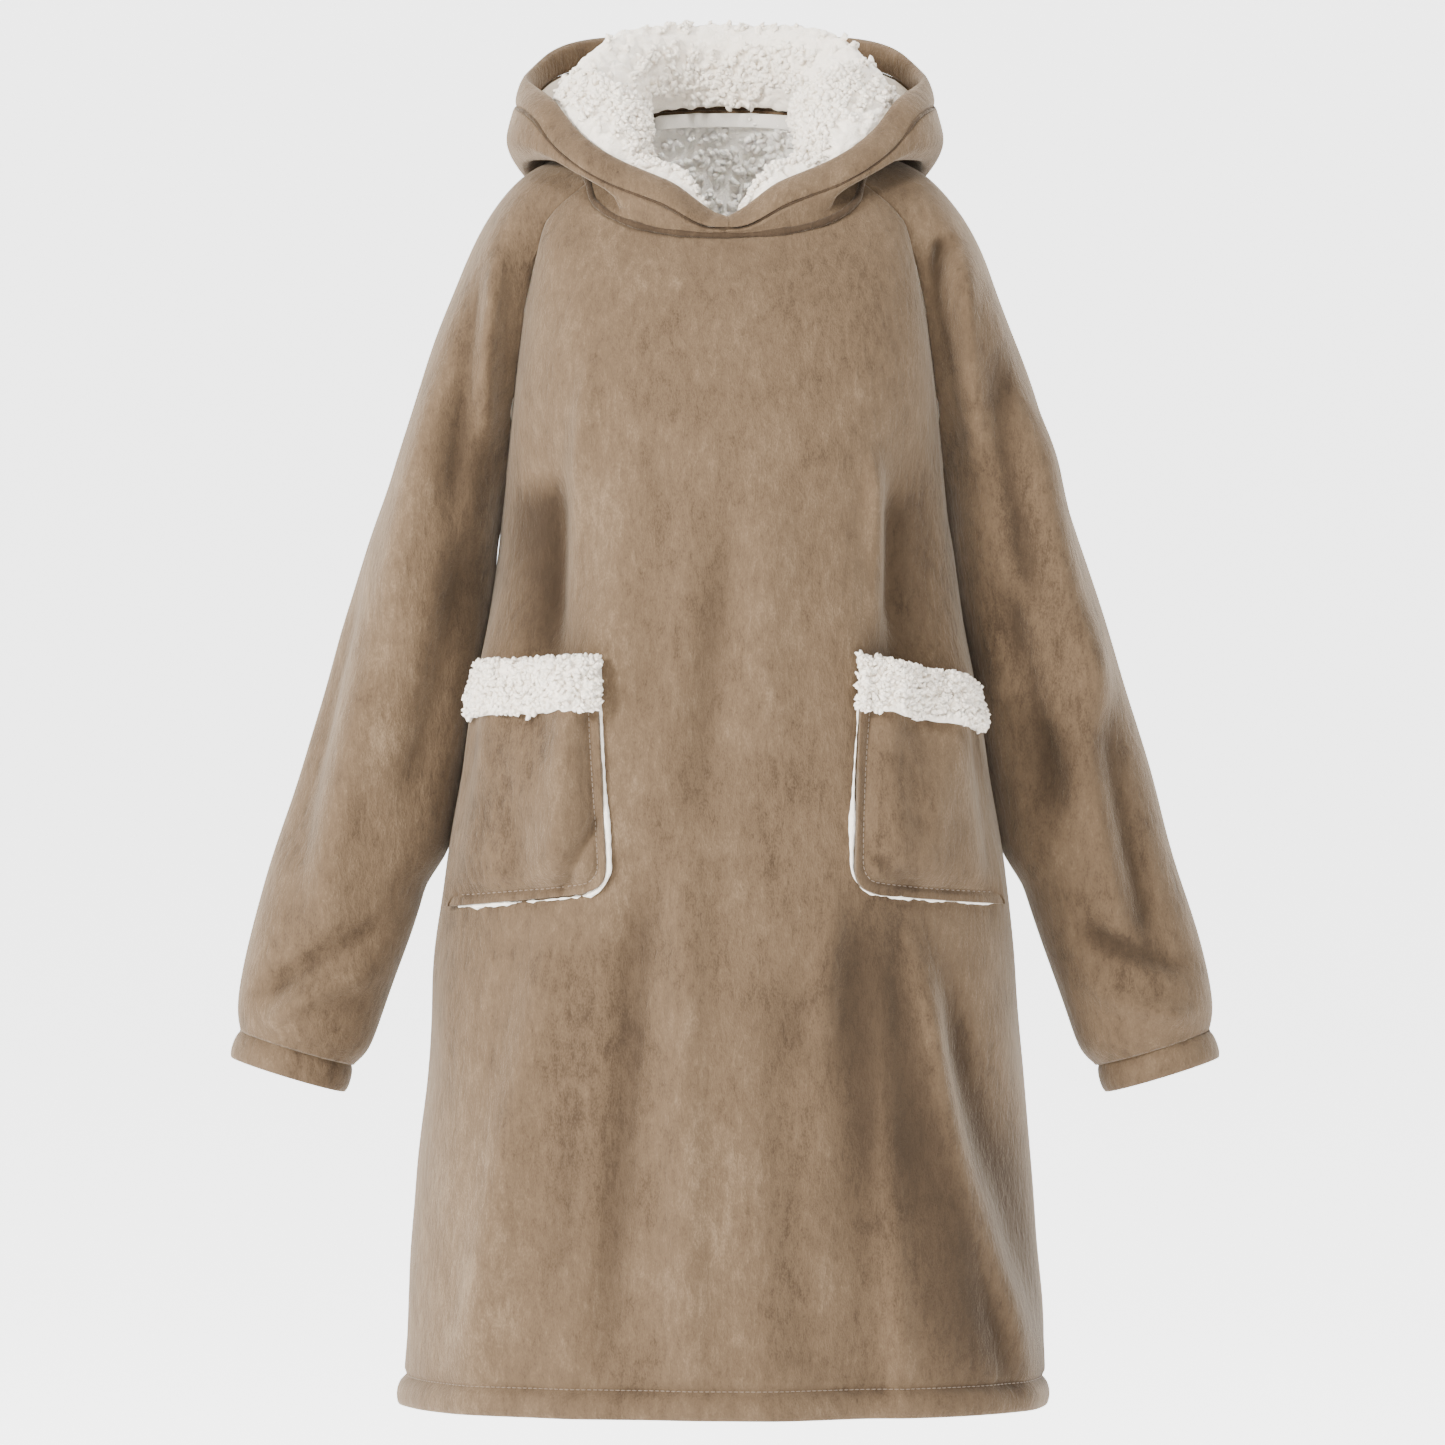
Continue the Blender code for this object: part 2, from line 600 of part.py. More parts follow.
def sleeve(side_name, side, turns, rows):
    """One raglan sleeve: an open cap from the neck to the underarm, then a tube down to the cuff seam."""
    points, pinned = [], {}
    for i, row in enumerate(rows):
        section = [sleeve_point(row, turn) for turn in turns]
        for p in section:
            p.x += SEAM_GAP if row < UNDERARM_ROW else SLEEVE_CLEAR
        if row < UNDERARM_ROW:
            section[0].y += SEAM_GAP
            section[-1].y -= SEAM_GAP
        share = hermite(range(len(SLEEVE["down_seam"])), SLEEVE["down_seam"], row)
        if share < SEAM_TOP:
            for part, j in ((FRONT, 0), (BACK, len(turns) - 1)):
                pinned[i * len(turns) + j] = seam_way(part, share, side)
        points += section
    faces = grid_faces(len(rows), len(turns), flip=side < 0, closed_from=rows.index(UNDERARM_ROW))
    used = sorted({k for face in faces for k in face})
    pinned = {used.index(k): way for k, way in pinned.items()}
    points, faces = drop_unused(mirrored(points, side), faces)
    cloth(f"sleeve_{side_name}", points, faces, SLEEVE_WALL, FLANNEL, pinned)


def cuff(side_name, side, turns):
    """A turned band at the wrist, a little thicker than the sleeve."""
    last = len(SLEEVE["depth"]) - 1
    front, _, outer, _ = sleeve_section(last)
    across = (outer - front).normalized()
    along = Vector((across.z, 0, -across.x))
    ring = [sleeve_point(last, turn) + Vector((SLEEVE_CLEAR, 0, 0)) for turn in turns[:-1]]
    centre = sum(ring, Vector()) / len(ring)
    rows = []
    for share, size in CUFF_PROFILE:
        shift = along * (CUFF_CLEAR + CUFF_LENGTH * share)
        row = [centre + (p - centre) * size + shift for p in ring]
        rows.append([*row, row[0].copy()])
    faces = grid_faces(len(rows), len(turns), flip=side < 0, closed_from=0)
    points, faces = drop_unused(mirrored(flat(rows), side), faces)
    cloth(f"cuff_{side_name}", points, faces, CUFF_WALL, FLANNEL)


def hood_half(side_name, side, turns):
    """One half of the hood, from the front of the neck round to the seam down the middle of the back."""
    layers = []
    for depth in (0, HOOD_WALL):
        grid = hood_grid(turns, lambda turn: hood_profile(turn, depth))
        for row in grid:
            row[0].x += SEAM_GAP
            row[-1].x += SEAM_GAP / 2
        layers.append(grid)
    faces = grid_faces(len(layers[0]), len(turns), flip=side > 0)
    outside, inside = (mirrored(flat(grid), side) for grid in layers)
    between(f"hood_{side_name}", outside, inside, faces, FLANNEL)


def full_ring(grid):
    """Both halves of a grid of hood points as one, from the front of the right side round to the left's."""
    rows = []
    for row in grid:
        row[0].x += SEAM_GAP
        rows.append(mirrored(row[:-1], -1) + list(reversed(row)))
    return rows


def lining_wall(turn):
    full = mix(LINING_NEAR, LINING_FAR, through(LINING_THINS, turn))
    return full * mix(0.5, 1, through(LINING_STARTS, turn))


def hood_lining(turns):
    """Sherpa inside the hood, fat near the front, where it also covers the inside of the band."""
    back = full_ring(hood_grid(turns, lambda turn: hood_profile(turn, LINING_GAP, True)))
    face = full_ring(hood_grid(turns, lambda turn: hood_profile(turn, LINING_GAP + lining_wall(turn), True)))
    faces = grid_faces(len(back), len(back[0]))
    between("hood_lining", flat(face), flat(back), [tuple(reversed(f)) for f in faces], SHERPA)


def hood_band(turns, count):
    """The folded band round the face opening. Its two ends meet at the middle of the front."""
    rows = []
    for k in range(count):
        angle = 2 * math.pi * k / count
        along = 0.5 + 0.5 * math.copysign(abs(math.cos(angle)) ** 0.7, math.cos(angle))
        inside = 0.5 + 0.5 * math.copysign(abs(math.sin(angle)) ** 0.8, math.sin(angle))
        row = []
        for turn in turns:
            at = hood_at(turn)
            up = band_rise(at)
            inward = pair(-up[1], up[0])
            place = pair(at["foot_r"], at["foot_z"]) + up * at["band"] * along
            row.append(around(turn, *(place + inward * mix(-BAND_OUTSIDE, band_inside(turn), inside))))
        rows.append(row)
    rows = full_ring(rows)
    columns = len(rows[0])
    bm = bmesh.new()
    verts = [[bm.verts.new(p) for p in row] for row in rows]
    for i in range(count):
        for j in range(columns - 1):
            n = (i + 1) % count
            bm.faces.new((verts[i][j], verts[n][j], verts[n][j + 1], verts[i][j + 1]))
    bm.faces.new([row[0] for row in reversed(verts)])
    bm.faces.new([row[-1] for row in verts])
    bmesh.ops.recalc_face_normals(bm, faces=bm.faces)
    add_object("hood_band", bm, FLANNEL)


def pocket_rows(index):
    return {name: column[index] for name, column in POCKETS.items()}


def pocket_place(pocket, u, v):
    """A point of the body under the pocket and the way out there. u runs outwards, v down from the mouth."""
    mouth = mix(pocket["mouth_inner_z"], pocket["mouth_outer_z"], u)
    low = mix(pocket["low_inner_z"], pocket["low_outer_z"], u)
    z = mix(mouth, low, v)
    corner_share = POCKET_CORNER / (mouth - low)
    into = max(0.0, (v - 1 + corner_share) / corner_share)
    inner = mix(pocket["inner_top_x"], pocket["inner_low_x"], v)
    inner += POCKET_CORNER * (1 - math.sqrt(1 - into**2))
    outer = POCKET_REACH * hermite(FRONT["seam_z"], FRONT["seam_x"], z)
    turn = turn_at(FRONT, pocket["side"] * mix(inner, outer, u), z)
    return body_point(FRONT, turn, z), outward(FRONT, turn)


def pocket_lift(u, v):
    """How far the pocket stands off the body inside its flat edges."""
    from_edge = min(u * POCKET_WIDTH, (1 - u) * POCKET_WIDTH * 1.3, (1 - v) * POCKET_HEIGHT)
    rise = ease((from_edge - POCKET_FLANGE) / POCKET_SLOPE)
    gape = POCKET_GAPE * (1 - v) ** 2 * ease(min(u, 1 - u) / 0.32)
    return POCKET_BULGE * rise + gape * ease(from_edge / POCKET_SLOPE)


def pocket_point(pocket, u, v, depth):
    """A point of the pocket at this depth above its back."""
    place, way = pocket_place(pocket, u, v)
    return place + way * (POCKET_CLEAR + pocket_lift(u, v) + depth)


POCKET_U = (0, 0.045, 0.09, 0.16, 0.25, 0.36, 0.48, 0.60, 0.72, 0.83, 0.91, 0.96, 1)
POCKET_V = (0, 0.07, 0.15, 0.28, 0.42, 0.56, 0.70, 0.82, 0.90, 0.945, 0.975, 1)


def pocket(side_name, index):
    at = pocket_rows(index)
    layers = []
    for depth in (POCKET_WALL, 0):
        layers.append([pocket_point(at, u, v, depth) for v in POCKET_V for u in POCKET_U])
    faces = grid_faces(len(POCKET_V), len(POCKET_U), flip=at["side"] < 0)
    between(f"pocket_{side_name}", *layers, faces, FLANNEL)


def pocket_trim(side_name, index):
    """Sherpa folded over the pocket's mouth: down its outside, and a shorter way down its inside."""
    at = pocket_rows(index)
    height = at["mouth_inner_z"] - at["low_inner_z"]
    clear = TRIM_CLEAR
    path = [
        (TRIM_OUTSIDE, POCKET_WALL + clear, TRIM_WALL, 0.35),
        (TRIM_OUTSIDE * 0.85, POCKET_WALL + clear, TRIM_WALL, 0.9),
        (TRIM_OUTSIDE * 0.45, POCKET_WALL + clear, TRIM_WALL, 1),
        (0.0010, POCKET_WALL + clear, TRIM_WALL * 0.9, 1),
        (-clear, POCKET_WALL + clear, TRIM_WALL * 0.7, 1),
        (-clear, -clear / 2, TRIM_WALL * 0.5, 1),
        (0.0010, -clear / 2, TRIM_WALL * 0.4, 1),
        (TRIM_INSIDE, -clear / 2, TRIM_WALL * 0.3, 1),
    ]
    rise = (0, 0, 0, 0.15, 1, 1, 0.15, 0)
    push = (1, 1, 1, 1, 0.6, -0.5, -1, -1)
    inner, outer = [], []
    us = [u for u in POCKET_U if 0.03 < u < 0.97]
    for (drop, depth, wall, fill), up, out in zip(path, rise, push):
        for u in us:
            v = max(drop, 0) / height
            place, way = pocket_place(at, u, v)
            stand = POCKET_CLEAR + pocket_lift(u, v) + depth
            thick = wall * fill if out > 0 else min(wall * fill, stand * 0.4)
            base = place + way * stand + Vector((0, 0, max(-drop, 0)))
            inner.append(base)
            outer.append(base + way * thick * out + Vector((0, 0, wall * up * 0.8)))
    faces = grid_faces(len(path), len(us), flip=at["side"] > 0)
    between(f"pocket_trim_{side_name}", outer, inner, faces, SHERPA)


def neck_tape():
    """A plain tape on the inside of the back, just under the neck seam."""
    top = BACK["seam_z"][0]
    rows = []
    for drop in np.linspace(NECK_TAPE["top"], NECK_TAPE["top"] + NECK_TAPE["drop"], 3):
        row = []
        for share in np.linspace(-1, 1, 9):
            across = share * NECK_TAPE["half_width"] / BACK["seam_x"][0]
            turn = math.copysign(math.asin(min(abs(across), 1) ** (BODY_ROUNDNESS / 2)), across)
            point = body_point(BACK, turn, top)
            row.append(Vector((point.x, point.y, point.z - drop)))
        rows.append(row)
    layers = []
    for depth in (NECK_TAPE["inset"] + NECK_TAPE["wall"], NECK_TAPE["inset"]):
        layers.append([Vector((p.x * NECK_TAPE["narrow"], p.y - depth, p.z)) for p in flat(rows)])
    between("back_neck_tape", *layers, grid_faces(3, 9), TAPE)


def clear_scene():
    for old in list(bpy.data.objects):
        bpy.data.objects.remove(old)


def build():
    clear_scene()
    hem = ((-0.885, 1), (-0.895, 1), (-0.902, 1), (HEM_Z, 0))
    front_heights = levels((FRONT["seam_z"][0], 3), (-0.045, 5), (UNDERARM_Z, 6), (-0.450, 13), *hem)
    back_heights = levels((BACK["seam_z"][0], 3), (-0.020, 4), (UNDERARM_Z, 5), (-0.450, 8), *hem)
    body_panel("front_panel", FRONT, even_turns(FRONT, 32), front_heights)
    body_panel("back_panel", BACK, [-turn for turn in even_turns(BACK, 24)], back_heights)
    neck_tape()
    sleeve_turns = [2 * math.pi * k / 18 for k in range(19)]
    sleeve_rows = [0, 1, 2, 3, 3.67, 4.33, 5, 5.5, 6, 6.5, 7, 7.5, 8, 9, 9.5, 10, 11, 12, 13]
    for index, (side_name, side) in enumerate((("right", -1), ("left", 1))):
        sleeve(side_name, side, sleeve_turns, sleeve_rows)
        cuff(side_name, side, sleeve_turns)
        hood_half(side_name, side, HOOD_TURNS)
        pocket(side_name, index)
        pocket_trim(side_name, index)
    hood_lining(HOOD_TURNS)
    hood_band(HOOD_TURNS, 8)


build()
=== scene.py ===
"""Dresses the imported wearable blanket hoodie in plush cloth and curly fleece, on a plain studio stage."""

import math

import bmesh
import bpy
import numpy as np
from bpy.props import FloatProperty, FloatVectorProperty, IntProperty, PointerProperty
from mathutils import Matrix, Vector
from mathutils.bvhtree import BVHTree


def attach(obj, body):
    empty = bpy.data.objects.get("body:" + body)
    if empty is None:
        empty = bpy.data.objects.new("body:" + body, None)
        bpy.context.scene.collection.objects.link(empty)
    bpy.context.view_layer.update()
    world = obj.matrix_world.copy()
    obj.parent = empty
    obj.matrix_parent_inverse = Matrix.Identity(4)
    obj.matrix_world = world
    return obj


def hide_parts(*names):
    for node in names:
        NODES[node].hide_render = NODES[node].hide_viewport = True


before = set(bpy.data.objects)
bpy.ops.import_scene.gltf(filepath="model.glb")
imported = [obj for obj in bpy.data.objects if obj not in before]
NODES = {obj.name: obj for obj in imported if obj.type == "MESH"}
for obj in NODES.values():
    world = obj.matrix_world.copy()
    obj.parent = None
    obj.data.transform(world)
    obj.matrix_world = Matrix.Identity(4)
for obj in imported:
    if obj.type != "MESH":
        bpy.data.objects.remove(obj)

bl_info = {
    "name": "Blanket hoodie looks",
    "version": (1, 0, 0),
    "blender": (4, 5, 0),
    "location": "3D View > Sidebar > Hoodie",
    "description": "Plush and fleece pieces, stitches and a stage for a blanket hoodie",
    "category": "Object",
}

HEM_STITCH_Z = -0.8965
# How far down a sleeve, and how far out its middle lies there
SLEEVE_DOWN = (0.0, 0.26, 0.64)
SLEEVE_MIDDLE = (0.13, 0.212, 0.312)
# How fast the body's side and the sleeve's inner edge run outwards on their way down
SIDE_SLOPE = 0.18


# Tables


def table(columns, *rows):
    """A short table as a dict of arrays, one for each named column."""
    values = np.array(rows, float)
    return {name: values[:, k] for k, name in enumerate(columns.split())}


# Soft folds: a line from one end to the other in the front view, in millimetres, how far it stands out
# (or sinks, where negative), its half width, and how far its middle bows sideways. face is -1 in front.
FOLDS = table(
    "face x0    z0    x1    z1    out  width bow",
    (-1, -101, -150, -112, -345, 4.0, 8, 2),
    (-1, -122, -235, -124, -345, -4.0, 9, 0),
    (-1, 109, -215, 112, -345, 5.0, 7, -2),
    (-1, 124, -240, 120, -340, -5.0, 8, 0),
    (-1, 34, -240, 30, -430, 2.5, 20, 3),
    (-1, 4, -240, -20, -500, -2.6, 18, 4),
    (-1, -45, -200, -60, -420, -2.0, 16, 0),
    (-1, -26, -500, -26, -900, 4.0, 15, 4),
    (-1, -64, -520, -98, -900, -3.8, 15, -4),
    (-1, -102, -330, -124, -520, 3.0, 14, 0),
    (-1, -124, -560, -190, -900, 4.5, 16, 3),
    (-1, 40, -600, 62, -915, -3.6, 20, 3),
    (-1, 80, -540, 72, -640, 3.6, 10, 2),
    (-1, 112, -560, 131, -915, 2.8, 10, 2),
    (-1, 138, -575, 232, -905, 6.0, 12, 6),
    (-1, 162, -600, 216, -905, -6.0, 13, 4),
    (1, -95, -320, -118, -910, 4.0, 16, 5),
    (1, -34, -260, -30, -910, -4.0, 16, -5),
    (1, 34, -300, 46, -910, 4.0, 16, 4),
    (1, 96, -240, 122, -910, -4.0, 15, -4),
    (1, 150, -420, 190, -910, 4.0, 15, 3),
    (1, -150, -420, -186, -910, -4.0, 15, 3),
)

# Folds of the two sleeves, stated for the side that is on the viewer's left, then the right.
SLEEVE_FOLDS = table(
    "face x0    z0    x1    z1    out  width bow",
    (-1, -168, -60, -176, -200, 4.0, 9, 4),
    (-1, -185, -70, -205, -260, -5.0, 12, 3),
    (-1, -210, -150, -250, -330, 4.5, 13, 5),
    (-1, -196, -270, -238, -470, -4.5, 14, -4),
    (-1, -262, -360, -300, -560, 4.0, 15, 4),
    (-1, -282, -300, -322, -520, -4.5, 13, 6),
    (-1, -250, -560, -345, -610, -3.5, 9, 5),
    (-1, -262, -595, -340, -632, 3.5, 8, 4),
    (-1, 166, -48, 152, -105, -6.0, 8, 4),
    (-1, 176, -60, 190, -220, 4.5, 10, 3),
    (-1, 206, -130, 232, -320, -5.0, 13, 4),
    (-1, 232, -180, 278, -400, 4.5, 13, 4),
    (-1, 205, -300, 246, -480, -4.5, 13, -4),
    (-1, 280, -400, 326, -580, -4.5, 14, 5),
    (-1, 268, -330, 292, -560, 4.0, 14, 3),
    (-1, 262, -560, 350, -590, -3.5, 9, 4),
    (-1, 270, -605, 345, -628, 3.2, 8, 3),
    (1, -190, -90, -235, -330, -5.0, 14, 4),
    (1, -240, -250, -300, -540, 4.5, 15, 4),
    (1, 190, -90, 240, -330, -5.0, 14, 4),
    (1, 240, -250, 296, -540, 4.5, 15, 4),
)

# Creases of the pockets alone.
POCKET_FOLDS = table(
    "face x0    z0    x1    z1    out  width bow",
    (-1, -90, -474, -121, -536, -5.0, 5, 2),
    (-1, -106, -470, -140, -530, 3.0, 12, 3),
    (-1, -172, -420, -150, -520, -2.5, 10, -3),
    (-1, -118, -405, -128, -450, 2.0, 9, 0),
    (-1, 128, -420, 150, -500, -2.5, 10, 3),
    (-1, 168, -430, 150, -530, 2.5, 12, 3),
    (-1, 104, -500, 140, -528, -3.0, 6, 2),
)

# Painted light and shade on the flannel: darker (negative) or lighter along soft lines of the front view,
# in thousandths.
PAINTED_SHADE_LINES = table(
    "face x0    z0    x1    z1    out  width bow",
    (-1, 88, -530, 206, -915, -1300, 54, 0),
    (-1, 212, -700, 238, -915, -800, 24, 0),
    (-1, 135, -571, 228, -898, 700, 8, 6),
    (-1, -141, -230, -141, -360, -1000, 26, 0),
    (-1, -101, -151, -112, -354, 350, 8, 2),
    (-1, 141, -230, 150, -360, -450, 28, 0),
    (-1, 188, -70, 240, -440, -380, 38, 0),
    (-1, 255, -400, 306, -620, -600, 42, 0),
    (-1, 158, -40, 180, -150, -450, 16, 0),
    (-1, -169, -560, -200, -900, 450, 38, 0),
    (-1, -4, -590, -4, -910, 400, 42, 0),
    (-1, -94, -541, -128, -860, -350, 15, 0),
    (-1, 4, -250, -86, -850, -250, 20, 10),
    (-1, -262, -280, -330, -530, 400, 14, 4),
    (-1, -186, -170, -196, -360, -600, 20, 0),
    (-1, 146, -410, 148, -530, -300, 48, 0),
    (1, 100, -560, 170, -905, -600, 46, 0),
    (1, -110, -480, -150, -905, -450, 30, 0),
    (1, 0, -300, 10, -900, 300, 40, 0),
    (1, 190, -100, 262, -500, -450, 36, 0),
    (1, -190, -100, -262, -500, -450, 36, 0),
)

# Each pocket's raw edge in the front view, in millimetres: down the inner side, round the corner and out.
POCKET_EDGES = {
    "right": (
        *((-92.5, -372), (-89, -440), (-84.5, -505), (-86, -522)),
        *((-95, -533), (-112, -537), (-150, -541), (-196, -545)),
    ),
    "left": (
        *((99, -372), (94, -440), (92, -505), (94, -521)),
        *((103, -532), (120, -536), (158, -540), (198, -543)),
    ),
}
# From the raw edge in to the row of stitches
FLANGE = 0.009
# How many points of the row of stitches lie under the fleece of the mouth
UNDER_TRIM = 4

# Models of a lock of pile and of a stitch: each ring's size against the last one, and the way to it
LOCK = ((0.5, None), (1.1, (0.12, 0, 0.40)), (0.55, (0.34, 0, 0.26)))
STITCH = ((0.3, None), (1.8, (0.15, 0, 0.25)), (1, (0, 0, 0.35)), (0.5, (-0.2, 0, 0.25)))

# A gap between two pieces up to this wide is a seam
SEAM_REACH = 0.0015
# The share of its gap to the other piece by which a seam's rim moves
SEAM_SHARE = 0.62


# Shader maths


class Number:
    """A value in a material's nodes, whose maths reads as an expression."""

    def __init__(self, shader, socket):
        self.shader = shader
        self.socket = socket

    def maths(self, operation, first, second):
        return self.shader.node("ShaderNodeMath", {0: first, 1: second}, operation=operation)

    def __add__(self, other):
        return self.maths("ADD", self, other)

    def __sub__(self, other):
        return self.maths("SUBTRACT", self, other)

    def __rsub__(self, other):
        return self.maths("SUBTRACT", other, self)

    def __mul__(self, other):
        return self.maths("MULTIPLY", self, other)

    def __truediv__(self, other):
        return self.maths("DIVIDE", self, other)

    def __pow__(self, other):
        return self.maths("POWER", self, other)

    __radd__ = __add__
    __rmul__ = __mul__

    def between(self, low, high):
        """0 below low, 1 above high, and smooth between."""
        return self.shader.node(
            "ShaderNodeMapRange",
            {"Value": self, "From Min": low, "From Max": high},
            output="Result",
            interpolation_type="SMOOTHSTEP",
        )


class Shader:
    """A material with one Principled BSDF, built from node calls."""

    def __init__(self, name, **constants):
        self.material = bpy.data.materials.new(name)
        self.material.use_nodes = True
        self.tree = self.material.node_tree
        self.principled = self.tree.nodes["Principled BSDF"]
        for socket, value in constants.items():
            self.principled.inputs[socket.replace("_", " ")].default_value = value
        self.place = self.node("ShaderNodeTexCoord", output="Object")

    def feed(self, socket, value):
        if isinstance(value, Number):
            self.tree.links.new(value.socket, socket)
        elif socket.type == "RGBA":
            socket.default_value = (*value, 1)
        else:
            socket.default_value = value

    def node(self, kind, inputs=None, output=0, **settings):
        made = self.tree.nodes.new(kind)
        for name, value in settings.items():
            setattr(made, name, value)
        for key, value in (inputs or {}).items():
            self.feed(made.inputs[key], value)
        return Number(self, made.outputs[output])

    def noise(self, scale, detail=4.0, roughness=0.55, stretch=(1, 1, 1), distortion=0.0):
        """Noise of about scale cycles in a metre, stretched along an axis where that is less than 1."""
        place = self.node("ShaderNodeVectorMath", {0: self.place, 1: stretch}, operation="MULTIPLY")
        inputs = {
            "Vector": place,
            "Scale": scale,
            "Detail": detail,
            "Roughness": roughness,
            "Distortion": distortion,
        }
        return self.node("ShaderNodeTexNoise", inputs)

    def attribute(self, name):
        return self.node("ShaderNodeAttribute", output="Fac", attribute_name=name)

    def mix(self, share, first, second):
        inputs = {0: share, 6: first, 7: second}
        return self.node("ShaderNodeMix", inputs, output=2, data_type="RGBA")

    def bump(self, height, distance, strength=1.0, below=None):
        inputs = {"Height": height, "Distance": distance, "Strength": strength}
        if below:
            inputs["Normal"] = below
        return self.node("ShaderNodeBump", inputs, output="Normal")

    def set(self, **values):
        for socket, value in values.items():
            self.feed(self.principled.inputs[socket.replace("_", " ")], value)
        return self.material


def plush(name, light, middle, dark):
    """Brushed flannel: a short nap that lies in soft patches, with painted shade down in its folds and
    painted light and shade along listed lines.
    """
    shader = Shader(name, Sheen_Weight=0.22, Sheen_Roughness=0.45, Sheen_Tint=(0.86, 0.74, 0.60, 1))
    shader.principled.inputs["Specular IOR Level"].default_value = 0.08
    patches = shader.noise(8.0, 3, 0.55, (1, 1, 0.5), 0.3)
    mottle = shader.noise(46.0, 5, 0.66, (1, 1, 0.55), 0.35)
    brushed = shader.noise(190.0, 4, 0.65, (1, 1, 0.42), 0.3)
    fibres = shader.noise(1000.0, 3, 0.6, (1, 1, 0.5))
    # Painted light and shade from the folds and the listed lines, kept per point.
    nap_painted_shading = shader.attribute("nap_painted_shading")
    tone = patches * 0.40 + mottle * 0.45 + brushed * 0.42 + fibres * 0.42 + nap_painted_shading * 0.10
    lower = shader.mix(tone.between(0.58, 0.88), dark, middle)
    upper = shader.mix(tone.between(0.84, 1.18), lower, light)
    # Painted shade: a darker copy of the dark colour, mixed in where the painted shading runs low.
    colour = shader.mix(nap_painted_shading.between(-1.35, 0.05) * 0.84 + 0.16, [c * 0.7 for c in dark], upper)
    coarse = shader.bump(mottle * 0.6 + brushed * 0.4, 0.0040, 0.5)
    normal = shader.bump(fibres * 0.6 + brushed, 0.0010, 0.7, coarse)
    return shader.set(Base_Color=colour, Roughness=mottle * 0.12 + 0.78, Normal=normal)


def fleece(name, light, shade):
    """Curly fleece: pale curls, with warmer, darker painted shade down between them."""
    shader = Shader(name, Sheen_Weight=0.35, Sheen_Roughness=0.5, Subsurface_Weight=0.12)
    shader.principled.inputs["Subsurface Radius"].default_value = (0.006, 0.005, 0.004)
    shader.principled.inputs["Specular IOR Level"].default_value = 0.15
    curls = shader.noise(260.0, 4, 0.6, distortion=1.6)
    fibres = shader.noise(1300.0, 3, 0.6, distortion=0.8)
    clumps = shader.noise(45.0, 3, 0.5)
    height = shader.attribute("height")
    # Painted shade: the lower a point lies between the curls, the nearer its colour comes to the shade
    # colour.
    tone = height * 0.55 + curls * 0.34 + clumps * 0.25 + fibres * 0.12
    colour = shader.mix(tone.between(0.20, 0.68), shade, light)
    coarse = shader.bump(curls, 0.0026, 0.75)
    normal = shader.bump(fibres, 0.0006, 0.6, coarse)
    return shader.set(Base_Color=colour, Roughness=curls * 0.1 + 0.85, Normal=normal)


def woven(name, colour, shade, scale):
    """Plain woven tape or thread."""
    shader = Shader(name, Sheen_Weight=0.2)
    grain = shader.noise(scale, 3, 0.6, (1, 1, 0.5))
    ribs = shader.node("ShaderNodeTexWave", {"Vector": shader.place, "Scale": scale, "Distortion": 1.0})
    mixed = shader.mix((grain * 0.6 + ribs * 0.4).between(0.3, 0.8), shade, colour)
    normal = shader.bump(ribs + grain, 0.0003, 0.5)
    return shader.set(Base_Color=mixed, Roughness=grain * 0.1 + 0.75, Normal=normal)


# Meshes


def chosen(*objects):
    """Only these objects selected, the last one active."""
    bpy.ops.object.select_all(action="DESELECT")
    for obj in objects:
        obj.select_set(True)
        bpy.context.view_layer.objects.active = obj


def refined(node, name, levels):
    """A finer copy of a CAD node: its quads again, divided smoothly, its seams tight, its rims rounded."""
    mesh = NODES[node].data.copy()
    mesh.name = name
    mesh.materials.clear()
    obj = bpy.data.objects.new(name, mesh)
    bpy.context.scene.collection.objects.link(obj)
    bm = bmesh.new()
    bm.from_mesh(mesh)
    bmesh.ops.remove_doubles(bm, verts=bm.verts, dist=0.00005)
    limits = dict(angle_face_threshold=math.radians(50), angle_shape_threshold=math.radians(80))
    bmesh.ops.join_triangles(bm, faces=bm.faces, **limits)
    mark_inside(bm)
    crease = bm.edges.layers.float.get("crease_edge") or bm.edges.layers.float.new("crease_edge")
    for edge in bm.edges:
        if len(edge.link_faces) == 2 and edge.calc_face_angle() > math.radians(52):
            edge[crease] = 1.0
    bm.to_mesh(mesh)
    bm.free()
    divide(obj, levels - 1)
    others = surface_of_all_but(node)
    soften_free_rims(obj, others)
    divide(obj, 1)
    close_seams(obj, others)
    obj.data.attributes.remove(obj.data.attributes["crease_edge"])
    obj.data.shade_smooth()
    return obj


def surface_of_all_but(node):
    """The faces of every other CAD node, for finding the nearest point on them."""
    corners, faces = [], []
    for name, other in NODES.items():
        if name != node and other.type == "MESH":
            faces += [[k + len(corners) for k in face.vertices] for face in other.data.polygons]
            corners += [vertex.co for vertex in other.data.vertices]
    return BVHTree.FromPolygons(corners, faces)


def soften_free_rims(obj, others):
    """Keeps only the creases at seams, where another piece lies close, so that free rims round off."""
    for edge, crease in zip(obj.data.edges, obj.data.attributes["crease_edge"].data):
        if crease.value > 0.5:
            ends = [obj.data.vertices[k].co for k in edge.vertices]
            if max(others.find_nearest(end)[3] for end in ends) > SEAM_REACH:
                crease.value = 0.0


def close_seams(obj, others):
    """Draws each seam's rim a little over half way to the other piece."""
    rims = set()
    for edge, crease in zip(obj.data.edges, obj.data.attributes["crease_edge"].data):
        if crease.value > 0.5:
            rims.update(edge.vertices)
    for k in rims:
        vertex = obj.data.vertices[k]
        spot, _, _, far = others.find_nearest(vertex.co)
        if far < SEAM_REACH + 0.0005:
            vertex.co += (spot - vertex.co) * SEAM_SHARE


